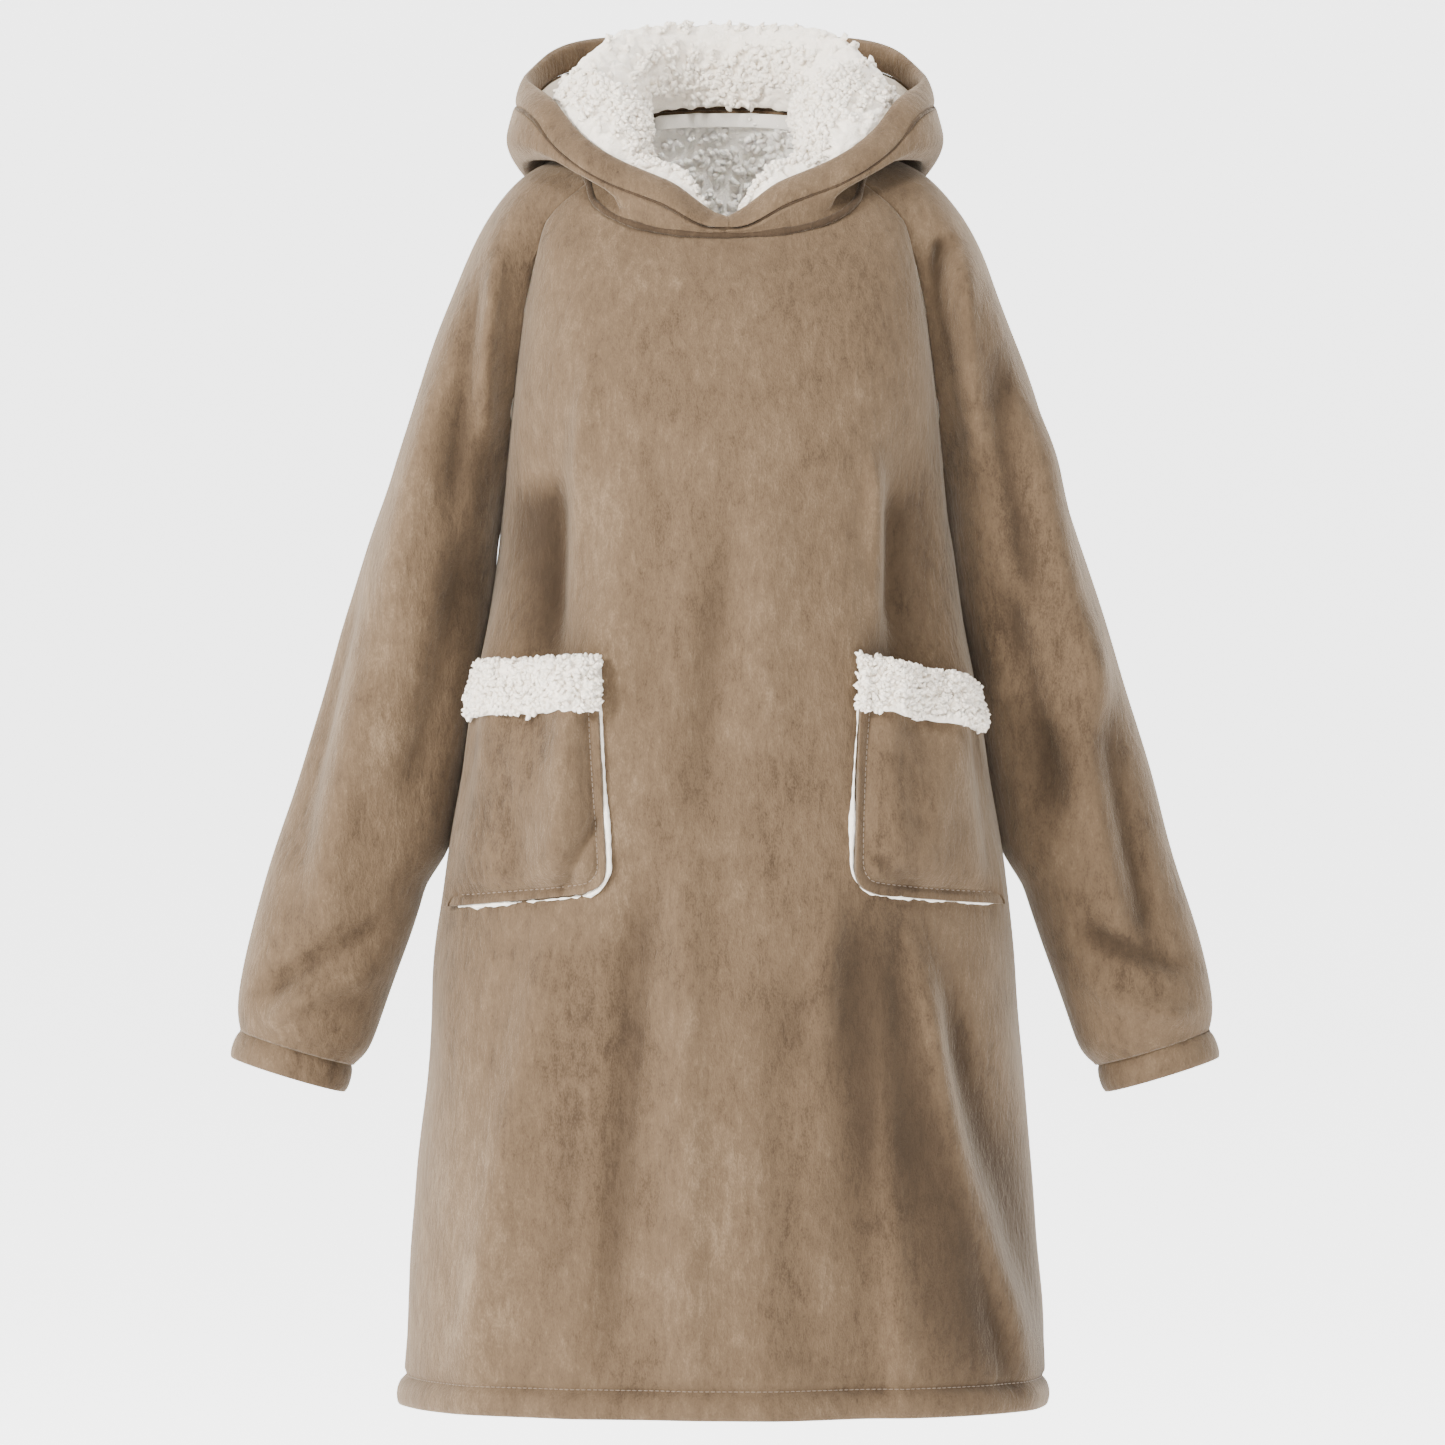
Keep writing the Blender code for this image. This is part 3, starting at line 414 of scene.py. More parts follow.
def mark_inside(bm):
    """Gives material 1 to the side of a wall that faces the hollow, up to the wall's sharp rims."""
    left = set(bm.faces)
    while left:
        region = [left.pop()]
        facing = size = 0.0
        for face in region:
            area = face.calc_area()
            size += area
            facing += area * face.normal.dot(way_out(face.calc_center_median()).normalized())
            for edge in face.edges:
                if len(edge.link_faces) == 2 and edge.calc_face_angle() < math.radians(30):
                    for other in edge.link_faces:
                        if other in left:
                            left.remove(other)
                            region.append(other)
        for face in region:
            face.material_index = int(facing < -0.35 * size)


def way_out(place):
    """Roughly the way out of the garment at a place on it."""
    middle = 0.0
    if abs(place.x) > 0.19:
        middle = math.copysign(np.interp(-place.z, SLEEVE_DOWN, SLEEVE_MIDDLE), place.x)
    return Vector(((place.x - middle) * 0.6, place.y, max(place.z + 0.1, 0)))


def inside_weights(obj):
    """1 at each vertex whose faces all lie on the inside of the wall, else 0."""
    weights = np.ones(len(obj.data.vertices))
    for face in obj.data.polygons:
        if face.material_index == 0:
            weights[list(face.vertices)] = 0
    return weights


def surface_of(obj):
    """An object's faces, for finding the nearest point on them."""
    corners = [v.co for v in obj.data.vertices]
    return BVHTree.FromPolygons(corners, [p.vertices for p in obj.data.polygons])


def away_from(obj, *nodes, start=0.002, run=0.003):
    """0 where a vertex lies against some CAD nodes, 1 where it stands clear of them."""
    trees = [surface_of(NODES[node]) for node in nodes]
    far = [min(tree.find_nearest(v.co)[3] for tree in trees) for v in obj.data.vertices]
    return ease((np.array(far) - start) / run)


def divide(obj, levels):
    if levels < 1:
        return
    modifier = obj.modifiers.new("finer", "SUBSURF")
    modifier.levels = modifier.render_levels = levels
    chosen(obj)
    bpy.ops.object.modifier_apply(modifier=modifier.name)


def points_of(obj):
    co = np.empty(len(obj.data.vertices) * 3)
    obj.data.vertices.foreach_get("co", co)
    return co.reshape(-1, 3)


def normals_of(obj):
    way = np.empty(len(obj.data.vertices) * 3)
    obj.data.vertices.foreach_get("normal", way)
    return way.reshape(-1, 3)


def put_points(obj, points):
    obj.data.vertices.foreach_set("co", points.ravel())
    obj.data.update()


def ease(x):
    """0 below 0, 1 above 1 and smooth between, for arrays."""
    x = np.clip(x, 0, 1)
    return x * x * (3 - 2 * x)


def fold_ways(points, sleeve):
    """The way each point is pushed by a fold: out from the middle of the body, or of its sleeve."""
    x, y, z = points.T
    if sleeve:
        middle = np.sign(x) * np.interp(-z, SLEEVE_DOWN, SLEEVE_MIDDLE)
        across = (x - middle) * 0.9
    else:
        across = x * 0.35
    ways = np.stack([across, y, np.zeros_like(x)], 1)
    return ways / np.maximum(np.linalg.norm(ways, axis=1), 1e-6)[:, None]


def fold_push(points, folds):
    """How far each point is pushed out by a table of folds."""
    x, y, z = points.T * 1000
    total = np.zeros(len(points))
    for face, x0, z0, x1, z1, out, width, bow in zip(*folds.values()):
        along = np.array((x1 - x0, z1 - z0))
        length = np.linalg.norm(along)
        along /= length
        share = ((x - x0) * along[0] + (z - z0) * along[1]) / length
        off = (x - x0) * along[1] - (z - z0) * along[0]
        off = off - bow * np.sin(np.pi * np.clip(share, 0, 1))
        ends = ease((share + 0.12) / 0.32) * ease((1.12 - share) / 0.32)
        facing = ease((y * face + 8) / 30)
        total += out * 0.001 * ends * facing * np.exp(-((off / width) ** 2))
    return total


def unevenness(points, size, seed):
    """Smooth irregular waves between -1 and 1, about size metres long."""
    rng = np.random.default_rng(seed)
    total = np.zeros(len(points))
    for k in range(7):
        way = rng.normal(size=3)
        way[2] *= 0.45
        way *= 2 * np.pi / (size * rng.uniform(0.7, 1.6) * np.linalg.norm(way))
        total += np.sin(points @ way + rng.uniform(0, 6.28))
    return total / 3.5


def cells(points, size, seed):
    """Distance to the nearest scattered cell centre, as a share of size, and that cell's number."""
    scaled = points / size
    base = np.floor(scaled).astype(np.int64)
    best = np.full(len(points), 9.0)
    number = np.zeros(len(points))
    for dx in (-1, 0, 1):
        for dy in (-1, 0, 1):
            for dz in (-1, 0, 1):
                cell = base + (dx, dy, dz)
                key = (cell * (73856093, 19349663, 83492791)).sum(1) + seed * 7919
                jitter = np.stack([((key * p) % 10007) / 10007 for p in (48271, 69621, 40692)], 1)
                far = np.linalg.norm(cell + jitter - scaled, axis=1)
                closer = far < best
                best[closer] = far[closer]
                number[closer] = jitter[closer, 0]
    return best, number


def plump(obj, amount):
    """Moves every vertex outwards by an amount, or by its own one from an array."""
    points, ways = points_of(obj), normals_of(obj)
    put_points(obj, points + ways * np.broadcast_to(amount, len(points))[:, None])


def curl(obj, weights, size, rise, seed):
    """Raises curls on a fleece surface and keeps their height as an attribute for its material."""
    points, ways = points_of(obj), normals_of(obj)
    warp = np.stack([unevenness(points, size * 3.1, seed + k) for k in range(3)], 1) * size * 0.35
    large, number = cells(points + warp, size, seed)
    small, _ = cells(points + warp * 1.4, size * 0.55, seed + 5)
    bumps = (1 - np.clip(large, 0, 1) ** 1.6) * (0.7 + 0.6 * number)
    height = bumps * 0.72 + (1 - np.clip(small, 0, 1) ** 1.5) * 0.34
    put_points(obj, points + ways * (rise * weights * (height - 0.45))[:, None])
    stored = obj.data.attributes.new("height", "FLOAT", "POINT")
    level = np.clip(height, 0, 1) * weights + (1 - weights) * 0.62
    stored.data.foreach_set("value", level)


def hollows(obj, rounds=60):
    """How far each point lies in behind its wider surroundings: positive down in a fold."""
    points, ways = points_of(obj), normals_of(obj)
    ends = np.empty(len(obj.data.edges) * 2, np.int32)
    obj.data.edges.foreach_get("vertices", ends)
    there = np.concatenate([ends[1::2], ends[0::2]])
    here = np.concatenate([ends[0::2], ends[1::2]])
    count = np.maximum(np.bincount(here, minlength=len(points)), 1)
    smooth = points.copy()
    for _ in range(rounds):
        sums = [np.bincount(here, smooth[there, k], len(points)) for k in range(3)]
        smooth = np.stack(sums, 1) / count[:, None]
    return ((smooth - points) * ways).sum(1)


def near_line(points, line):
    """Distance in the front view from each point to a line of points."""
    place = points[:, [0, 2]]
    best = np.full(len(points), 9.0)
    for a, b in zip(line[:, [0, 2]], line[1:, [0, 2]]):
        share = np.clip(((place - a) @ (b - a)) / max((b - a) @ (b - a), 1e-12), 0, 1)
        best = np.minimum(best, np.linalg.norm(place - a - share[:, None] * (b - a), axis=1))
    return best


def even(points, step):
    """Points spaced evenly, step apart, along a smooth curve through these."""
    points = np.array(points, float)
    ends = np.vstack([2 * points[0] - points[1], points, 2 * points[-1] - points[-2]])
    t = np.linspace(0, 1, 12, endpoint=False)[:, None]
    fine = []
    for a, b, c, d in zip(ends, ends[1:], ends[2:], ends[3:]):
        bend = (2 * a - 5 * b + 4 * c - d) * t**2 + (3 * b - a - 3 * c + d) * t**3
        fine.append(0.5 * (2 * b + (c - a) * t + bend))
    fine = np.vstack([*fine, points[-1:]])
    along = np.concatenate([[0], np.cumsum(np.linalg.norm(np.diff(fine, axis=0), axis=1))])
    places = np.linspace(0, along[-1], max(int(along[-1] / step), 2) + 1)
    return np.stack([np.interp(places, along, fine[:, k]) for k in range(3)], 1)


def pocket_edge(side, inset=0.0):
    """The raw edge of a pocket in the front view, or a line this far inside it, in metres."""
    edge = even([(x / 1000, 0, z / 1000) for x, z in POCKET_EDGES[side]], 0.004)
    along = np.gradient(edge, axis=0)
    inward = np.stack([along[:, 2], np.zeros(len(edge)), -along[:, 0]], 1)
    inward /= np.linalg.norm(inward, axis=1)[:, None]
    middle = np.array((math.copysign(0.145, edge[0, 0]), 0, -0.45))
    inward *= np.sign(((middle - edge) * inward).sum(1))[:, None]
    return edge + inward * inset


def laid_in_front(line, tree, lift):
    """A line of the front view laid on the surfaces of a tree, and the way out at each point."""
    places, ways = [], []
    for x, _, z in line:
        hit, way, _, _ = tree.ray_cast(Vector((x, -1, z)), Vector((0, 1, 0)))
        if hit:
            places.append(hit + way * lift)
            ways.append(way)
    return np.array(places), np.array(ways)


def seam_line(carriers, others):
    """The line where some CAD nodes come nearest to others, in order round the neck."""
    trees = [surface_of(NODES[node]) for node in others]
    nearest = {}
    for node in carriers:
        for vertex in NODES[node].data.vertices:
            turn = round(math.degrees(math.atan2(vertex.co.x, -vertex.co.y)), 1)
            found = [tree.find_nearest(vertex.co) for tree in trees]
            spot, _, _, far = min(found, key=lambda one: one[3])
            if turn not in nearest or far < nearest[turn][0]:
                nearest[turn] = far, (vertex.co + spot) / 2
    return [tuple(nearest[turn][1]) for turn in sorted(nearest)]


def cord_along(name, places, radius, wave, seed):
    """A thin uneven roll of cloth or pile along a line, as a mesh."""
    places = np.array(places)
    swell = 1 + wave * unevenness(places, 0.03, seed) + wave * 0.5 * unevenness(places, 0.008, seed + 1)
    curve = bpy.data.curves.new(name, "CURVE")
    curve.dimensions = "3D"
    curve.bevel_depth = radius
    curve.bevel_resolution = 2
    curve.use_fill_caps = True
    spline = curve.splines.new("POLY")
    spline.points.add(len(places) - 1)
    for point, place, size in zip(spline.points, places, swell):
        point.co = (*place, 1)
        point.radius = max(size, 0.1)
    obj = bpy.data.objects.new(name, curve)
    bpy.context.scene.collection.objects.link(obj)
    chosen(obj)
    bpy.ops.object.convert(target="MESH")
    obj = bpy.context.active_object
    obj.data.shade_smooth()
    return obj


def model_of(name, sides, rings):
    """A short stalk of rings modelled by hand from a cylinder: each ring moves on and is resized."""
    bpy.ops.object.select_all(action="DESELECT")
    bpy.ops.mesh.primitive_cylinder_add(vertices=sides, radius=rings[0][0], depth=0.1)
    obj = bpy.context.active_object
    obj.name = name
    bpy.ops.object.mode_set(mode="EDIT")
    bpy.ops.mesh.select_all(action="DESELECT")
    bm = bmesh.from_edit_mesh(obj.data)
    max(bm.faces, key=lambda face: face.normal.z).select_set(True)
    bmesh.update_edit_mesh(obj.data)
    for size, move in rings[1:]:
        bpy.ops.mesh.extrude_region_move(TRANSFORM_OT_translate={"value": move})
        bpy.ops.transform.resize(value=(size, size, size))
    bpy.ops.object.mode_set(mode="OBJECT")
    return obj


def scattered(name, model, places, axes, sizes):
    """Copies of a model in one mesh. axes holds each copy's three ways, sizes its three scales."""
    shape = points_of(model)
    loops = [tuple(face.vertices) for face in model.data.polygons]
    moved = np.einsum("nk,ck,ckd->cnd", shape, sizes, axes) + places[:, None, :]
    faces = [tuple(k + c * len(shape) for k in loop) for c in range(len(places)) for loop in loops]
    mesh = bpy.data.meshes.new(name)
    mesh.from_pydata(moved.reshape(-1, 3).tolist(), [], faces)
    mesh.shade_smooth()
    obj = bpy.data.objects.new(name, mesh)
    bpy.context.scene.collection.objects.link(obj)
    bpy.data.objects.remove(model)
    return obj


def pile(name, carrier, weights, count, length, seed):
    """Loose bent locks of pile over a fleece surface, where its weights are high."""
    rng = np.random.default_rng(seed)
    mesh = carrier.data
    mesh.calc_loop_triangles()
    corners = np.array([t.vertices for t in mesh.loop_triangles])
    points = points_of(carrier)
    a, b, c = (points[corners[:, k]] for k in range(3))
    crossed = np.cross(b - a, c - a)
    area = np.linalg.norm(crossed, axis=1)
    area = np.where(area > 0, area, 1e-12)
    chance = area * (weights[corners].min(1) > 0.9)
    picked = rng.choice(len(corners), count, p=chance / chance.sum())
    u, v = rng.random((2, count))
    over = u + v > 1
    u[over], v[over] = 1 - u[over], 1 - v[over]
    places = a[picked] + (b - a)[picked] * u[:, None] + (c - a)[picked] * v[:, None]
    out = crossed[picked] / area[picked][:, None]
    up = out + rng.normal(scale=0.62, size=out.shape)
    up /= np.linalg.norm(up, axis=1)[:, None]
    side = np.cross(up, rng.normal(size=up.shape))
    side /= np.linalg.norm(side, axis=1)[:, None]
    axes = np.stack([side, np.cross(up, side), up], 1)
    long = length * rng.uniform(0.6, 1.3, count)
    wide = length * rng.uniform(0.55, 0.9, count)
    feet = places - up * long[:, None] * 0.15
    obj = scattered(name, model_of("lock", 4, LOCK), feet, axes, np.stack([wide, wide, long], 1))
    corners = len(obj.data.vertices) // count
    # Painted shade: each lock darker at its foot, lighter towards its tip.
    height = np.clip(0.55 + 0.5 * np.arange(corners) / corners, 0, 1)
    stored = obj.data.attributes.new("height", "FLOAT", "POINT")
    stored.data.foreach_set("value", np.tile(height, count))
    return obj


def stitches(name, places, ways, length, thick):
    """A row of thread stitches along evenly spaced places, each from one place towards the next."""
    along = np.diff(places, axis=0)
    along /= np.linalg.norm(along, axis=1)[:, None]
    out = ways[:-1] - (ways[:-1] * along).sum(1)[:, None] * along
    out /= np.linalg.norm(out, axis=1)[:, None]
    axes = np.stack([out, np.cross(along, out), along], 1)
    sizes = np.tile((thick, thick, length), (len(along), 1))
    return scattered(name, model_of("stitch", 5, STITCH), places[:-1], axes, sizes)


def lift_nape(obj):
    """Raises the middle of the back of the neck, where the seam sits higher than its ends."""
    points = points_of(obj)
    near = np.exp(-(((points[:, 2] - 0.047) / 0.022) ** 2)) * ease((points[:, 1] - 0.030) / 0.035)
    points[:, 2] += 0.009 * near * (1 - ease((np.abs(points[:, 0]) - 0.06) / 0.05))
    put_points(obj, points)


def roll_in(obj):
    """Lets the fleece stand in over the face band in two fat rolls, either side of the front."""
    points, ways = points_of(obj), normals_of(obj)
    turn = np.degrees(np.arctan2(np.abs(points[:, 0]), -points[:, 1]))
    left = points[:, 0] > 0
    ends = np.where(left, 72, 62)
    amount = np.where(left, 0.022, 0.018) * ease((turn - 5) / 22) * (1 - ease((turn - ends) / 26))
    level = np.stack([-points[:, 0], -points[:, 1], np.zeros(len(points))], 1)
    level /= np.maximum(np.linalg.norm(level, axis=1), 1e-6)[:, None]
    facing = ease(((ways * (level * 0.8 + (0, 0, 0.6))).sum(1) + 0.1) / 0.7)
    put_points(obj, points + (level * 0.72 + (0, 0, 0.62)) * (amount * facing)[:, None])


def snug(obj, panel, low=-0.525, high=-0.200):
    """Lays the inner edge of a sleeve against the side of the body, down to where they part."""
    points = points_of(obj)
    body, tube = np.abs(points_of(panel)), np.abs(points)
    heights = np.linspace(-high, -low, 12)
    gaps, middles, halves = [], [], []
    for height in heights:
        near = [part[np.abs(part[:, 2] - height) < 0.012] for part in (body, tube)]
        widths = [part[:, 0] - SIDE_SLOPE * (part[:, 2] - height) for part in near]
        gaps.append(max(widths[1].min() - widths[0].max(), 0))
        middles.append((widths[1].min() + widths[1].max()) / 2)
        halves.append((widths[1].max() - widths[1].min()) / 2)
    down = -points[:, 2]
    gap, middle, half = (np.interp(down, heights, values) for values in (gaps, middles, halves))
    inner = ease((middle - np.abs(points[:, 0])) / half * 1.3 - 0.2)
    inner *= ease((down + high + 0.01) / 0.03) * (1 - ease((down + low + 0.03) / 0.04))
    points[:, 0] -= np.sign(points[:, 0]) * (gap + 0.0020) * inner
    put_points(obj, points)


def finish(obj, nodes, slot, *materials):
    """Gives a piece its materials, puts it on the body and hides the CAD nodes it stands for."""
    for material in materials:
        obj.data.materials.append(material)
    if len(materials) == 1:
        obj.data.polygons.foreach_set("material_index", np.zeros(len(obj.data.polygons), np.int32))
    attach(obj, "root")
    if nodes:
        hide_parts(*nodes)
    return obj


def made_material(name):
    """A material by name, made the first time it is asked for."""
    known = bpy.data.materials.get(name)
    if known:
        return known
    looks = bpy.context.scene.hoodie_looks
    if name == "brushed_flannel":
        return plush(name, looks.nap_light, looks.nap_middle, looks.nap_dark)
    if name == "curly_fleece":
        return fleece(name, looks.fleece_light, looks.fleece_shade)
    # A lighter copy of the fleece: painted light, brightening the inside of the body where it lies in
    # shade.
    if name == "inner_fleece_painted_light":
        return fleece(name, looks.inner_light, looks.inner_shade)
    if name == "seam_shaded_flannel":
        # A darker copy of the flannel: painted shade for the seam welts, which lie in creases.
        return plush(name, looks.nap_middle, looks.nap_dark, [c * 0.6 for c in looks.nap_dark])
    if name == "thread":
        return woven(name, looks.thread, [c * 0.6 for c in looks.thread], 1500)
    return woven(name, looks.tape, [c * 0.8 for c in looks.tape], 900)


def made_materials(*names):
    return [made_material(name) for name in names]


def shaped(obj, folds, sleeve, amount=1.0, joined=()):
    """Pushes the folds, and a slight unevenness, into a piece, and less so at its armhole seams."""
    points = points_of(obj)
    push = fold_push(points, folds) * amount
    push += unevenness(points, 0.16, 4) * 0.0018 + unevenness(points, 0.06, 9) * 0.0007
    if joined:
        above = ease((points[:, 2] + 0.285) / 0.03)
        push *= 1 - above * (1 - away_from(obj, *joined, start=0.001, run=0.022))
    if not sleeve:
        push -= 0.0028 * np.exp(-(((points[:, 2] - HEM_STITCH_Z) / 0.0028) ** 2))
        push += 0.0016 * np.exp(-(((points[:, 2] - HEM_STITCH_Z + 0.012) / 0.007) ** 2))
    put_points(obj, points + fold_ways(points, sleeve) * push[:, None])
    # Painted light and shade for the flannel: lighter where the cloth is pushed out, darker down in hollows
    # and along the listed lines.
    painted_light_and_shade = np.clip(push / 0.016 - hollows(obj) / 0.0045, -1.2, 0.6) * 0.4 + fold_push(points, PAINTED_SHADE_LINES)
    stored = obj.data.attributes.get("nap_painted_shading") or obj.data.attributes.new("nap_painted_shading", "FLOAT", "POINT")
    stored.data.foreach_set("value", np.clip(painted_light_and_shade, -1.4, 1))


# Properties


class HoodieLooks(bpy.types.PropertyGroup):
    """Colours and sizes of the hoodie's cloth."""

    nap_light: FloatVectorProperty(
        name="Nap, light", description="Brushed cloth where the nap catches light", subtype="COLOR",
        default=(0.162, 0.114, 0.071), min=0, max=1,
    )
    nap_middle: FloatVectorProperty(
        name="Nap, middle", description="Brushed cloth's main colour", subtype="COLOR",
        default=(0.088, 0.058, 0.034), min=0, max=1,
    )
    nap_dark: FloatVectorProperty(
        name="Nap, dark", description="Brushed cloth between the streaks", subtype="COLOR",
        default=(0.038, 0.024, 0.014), min=0, max=1,
    )
    fleece_light: FloatVectorProperty(
        name="Fleece, light", description="Tips of the curls", subtype="COLOR",
        default=(0.88, 0.80, 0.69), min=0, max=1,
    )
    fleece_shade: FloatVectorProperty(
        name="Fleece, shade", description="Between the curls", subtype="COLOR",
        default=(0.50, 0.41, 0.31), min=0, max=1,
    )
    # The inside's fleece colours are lighter than the hood's: painted light where the inside lies in shade.
    inner_light: FloatVectorProperty(
        name="Inside, light", description="Fleece inside the body, tips", subtype="COLOR",
        default=(0.97, 0.93, 0.86), min=0, max=1,
    )
    inner_shade: FloatVectorProperty(
        name="Inside, shade", description="Fleece inside the body, between the curls", subtype="COLOR",
        default=(0.84, 0.76, 0.65), min=0, max=1,
    )
    tape: FloatVectorProperty(
        name="Tape", description="Plain tape inside the back of the neck", subtype="COLOR",
        default=(0.80, 0.76, 0.69), min=0, max=1,
    )
    thread: FloatVectorProperty(
        name="Thread", description="Sewing thread", subtype="COLOR",
        default=(0.23, 0.165, 0.11), min=0, max=1,
    )
    curl_size: FloatProperty(
        name="Curl size", description="Width of one fleece curl", unit="LENGTH",
        default=0.0062, min=0.001, max=0.05,
    )
    curl_rise: FloatProperty(
        name="Curl rise", description="Height of a fleece curl", unit="LENGTH",
        default=0.0042, min=0, max=0.05,
    )
    tufts: IntProperty(
        name="Tufts", description="Loose locks of pile in the hood", default=5000, min=10, max=9000,
    )
    fold_depth: FloatProperty(
        name="Fold depth", description="How deep the cloth's soft folds are", default=2.0, min=0,
    )


class StageLooks(bpy.types.PropertyGroup):
    """The studio round the hoodie."""

    camera_height: FloatProperty(
        name="Camera height", description="Height of the level camera", unit="LENGTH", default=-0.4084,
    )
    camera_side: FloatProperty(
        name="Camera side", description="How far right the camera is", unit="LENGTH", default=-0.0019,
    )
    camera_far: FloatProperty(
        name="Camera distance", description="From the hoodie's middle", unit="LENGTH",
        default=6.0, min=1,
    )
    seen: FloatProperty(
        name="Seen width", description="Width seen at the hoodie's middle", unit="LENGTH",
        default=1.0838, min=0.1,
    )
    floor: FloatProperty(name="Floor", description="Height of the floor", unit="LENGTH", default=-1.12)
    pale: FloatVectorProperty(
        name="Backdrop", description="Floor and backdrop", subtype="COLOR",
        default=(0.86, 0.86, 0.86), min=0, max=1,
    )


# Operators


class HOODIE_OT_panels(bpy.types.Operator):
    """Makes the front and the back, brushed outside and fleecy inside"""

    bl_idname = "hoodie.panels"
    bl_label = "Front and back"

    def execute(self, context):
        looks = context.scene.hoodie_looks
        pieces = []
        for node in ("front_panel", "back_panel"):
            obj = refined(node, f"{node}_cloth", 2)
            shaped(obj, FOLDS, False, looks.fold_depth, ("sleeve_left", "sleeve_right"))
            curl(obj, inside_weights(obj), looks.curl_size * 1.4, 0.003, 3)
            lift_nape(obj)
            finish(obj, [node], "flannel", *made_materials("brushed_flannel", "inner_fleece_painted_light"))
            pieces.append(obj)
        front, back = pieces
        near_neck = points_of(back)[:, 2] > -0.12
        tufts = pile("back_panel_pile", back, inside_weights(back) * near_neck, 1300, 0.0075, 31)
        finish(tufts, [], "sherpa", made_material("inner_fleece_painted_light"))
        self.sew_hem("hem_stitches_front", front, -1)
        self.sew_hem("hem_stitches_back", back, 1)
        return {"FINISHED"}

    def sew_hem(self, name, panel, side):
        """A row of stitches across a panel above its hem. side is -1 in front, 1 behind."""
        places, ways = [], []
        tree = surface_of(panel)
        for turn in np.radians(np.linspace(-84, 84, 190)):
            start = Vector((0.6 * math.sin(turn), side * 0.6 * math.cos(turn), HEM_STITCH_Z))
            hit, way, _, _ = tree.ray_cast(start, Vector((0, 0, HEM_STITCH_Z)) - start)
            if hit:
                places.append(hit + way * 0.0002)
                ways.append(way)
        row = even(places, 0.0042)
        spread = np.linspace(0, len(ways) - 1, len(row)).round().astype(int)
        sewn = stitches(name, row, np.array(ways)[spread], 0.0034, 0.0007)
        finish(sewn, [], "flannel", made_material("thread"))


class HOODIE_OT_sleeves(bpy.types.Operator):
    """Makes both sleeves and their cuffs"""

    bl_idname = "hoodie.sleeves"
    bl_label = "Sleeves and cuffs"

    def execute(self, context):
        looks = context.scene.hoodie_looks
        for side in ("right", "left"):
            cuff = refined(f"cuff_{side}", f"cuff_{side}_cloth", 3)
            finish(cuff, [f"cuff_{side}"], "flannel", made_material("brushed_flannel"))
            obj = refined(f"sleeve_{side}", f"sleeve_{side}_cloth", 3)
            shaped(obj, SLEEVE_FOLDS, True, looks.fold_depth, ("front_panel", "back_panel"))
            snug(obj, bpy.data.objects["front_panel_cloth"])
            cloths = made_materials("brushed_flannel", "inner_fleece_painted_light")
            finish(obj, [f"sleeve_{side}"], "flannel", *cloths)
        return {"FINISHED"}


class HOODIE_OT_hood(bpy.types.Operator):
    """Makes the hood's two halves, its face band and its fleece lining"""

    bl_idname = "hoodie.hood"
    bl_label = "Hood"

    def execute(self, context):
        looks = context.scene.hoodie_looks
        for side in ("right", "left"):
            obj = refined(f"hood_{side}", f"hood_{side}_cloth", 2)
            plump(obj, 0.0009)
            lift_nape(obj)
            self.lap(obj, 0.0010, 0.0)
            finish(obj, [f"hood_{side}"], "flannel", made_material("brushed_flannel"))
        band = refined("hood_band", "hood_band_cloth", 3)
        self.lap(band, 0.0030, 0.0010)
        finish(band, ["hood_band"], "flannel", made_material("brushed_flannel"))
        lining = refined("hood_lining", "hood_lining_fleece", 3)
        roll_in(lining)
        clear = away_from(lining, "hood_left", "hood_right", "hood_band")
        lying = 1 - away_from(lining, "hood_left", "hood_right", start=0.0008, run=0.0008)
        plump(lining, -0.0010 * lying)
        curl(lining, clear, looks.curl_size, looks.curl_rise, 11)
        lift_nape(lining)
        finish(lining, ["hood_lining"], "sherpa", made_material("curly_fleece"))
        clear = away_from(lining, "hood_left", "hood_right", "hood_band", start=0.0050, run=0.002)
        tufts = pile("hood_lining_pile", lining, clear, looks.tufts, 0.0058, 12)
        finish(tufts, [], "sherpa", made_material("curly_fleece"))
        halves = ("hood_left", "hood_right")
        body = ("front_panel", "back_panel", "sleeve_left", "sleeve_right")
        # Rolls of darker flannel along the neck seam and the face band's seam: seam ridges darkened with
        # painted shade, as creases.
        for name, others, radius in (("neck_seam", body, 0.0028), ("band_seam", ("hood_band",), 0.0016)):
            line = even(seam_line(halves, others), 0.003)
            seam = cord_along(f"{name}_shaded_welt", line, radius, 0.18, 41)
            lift_nape(seam)
            finish(seam, [], "flannel", made_material("seam_shaded_flannel"))
        return {"FINISHED"}

    def lap(self, obj, across, forward):
        """Carries the end on the viewer's left over the other at the middle of the front."""
        points = points_of(obj)
        near = (points[:, 0] < 0) * ease((points[:, 0] + 0.008) / 0.006) * ease(-points[:, 1] / 0.03)
        points[:, 0] += across * near
        points[:, 1] -= forward * near
        put_points(obj, points)


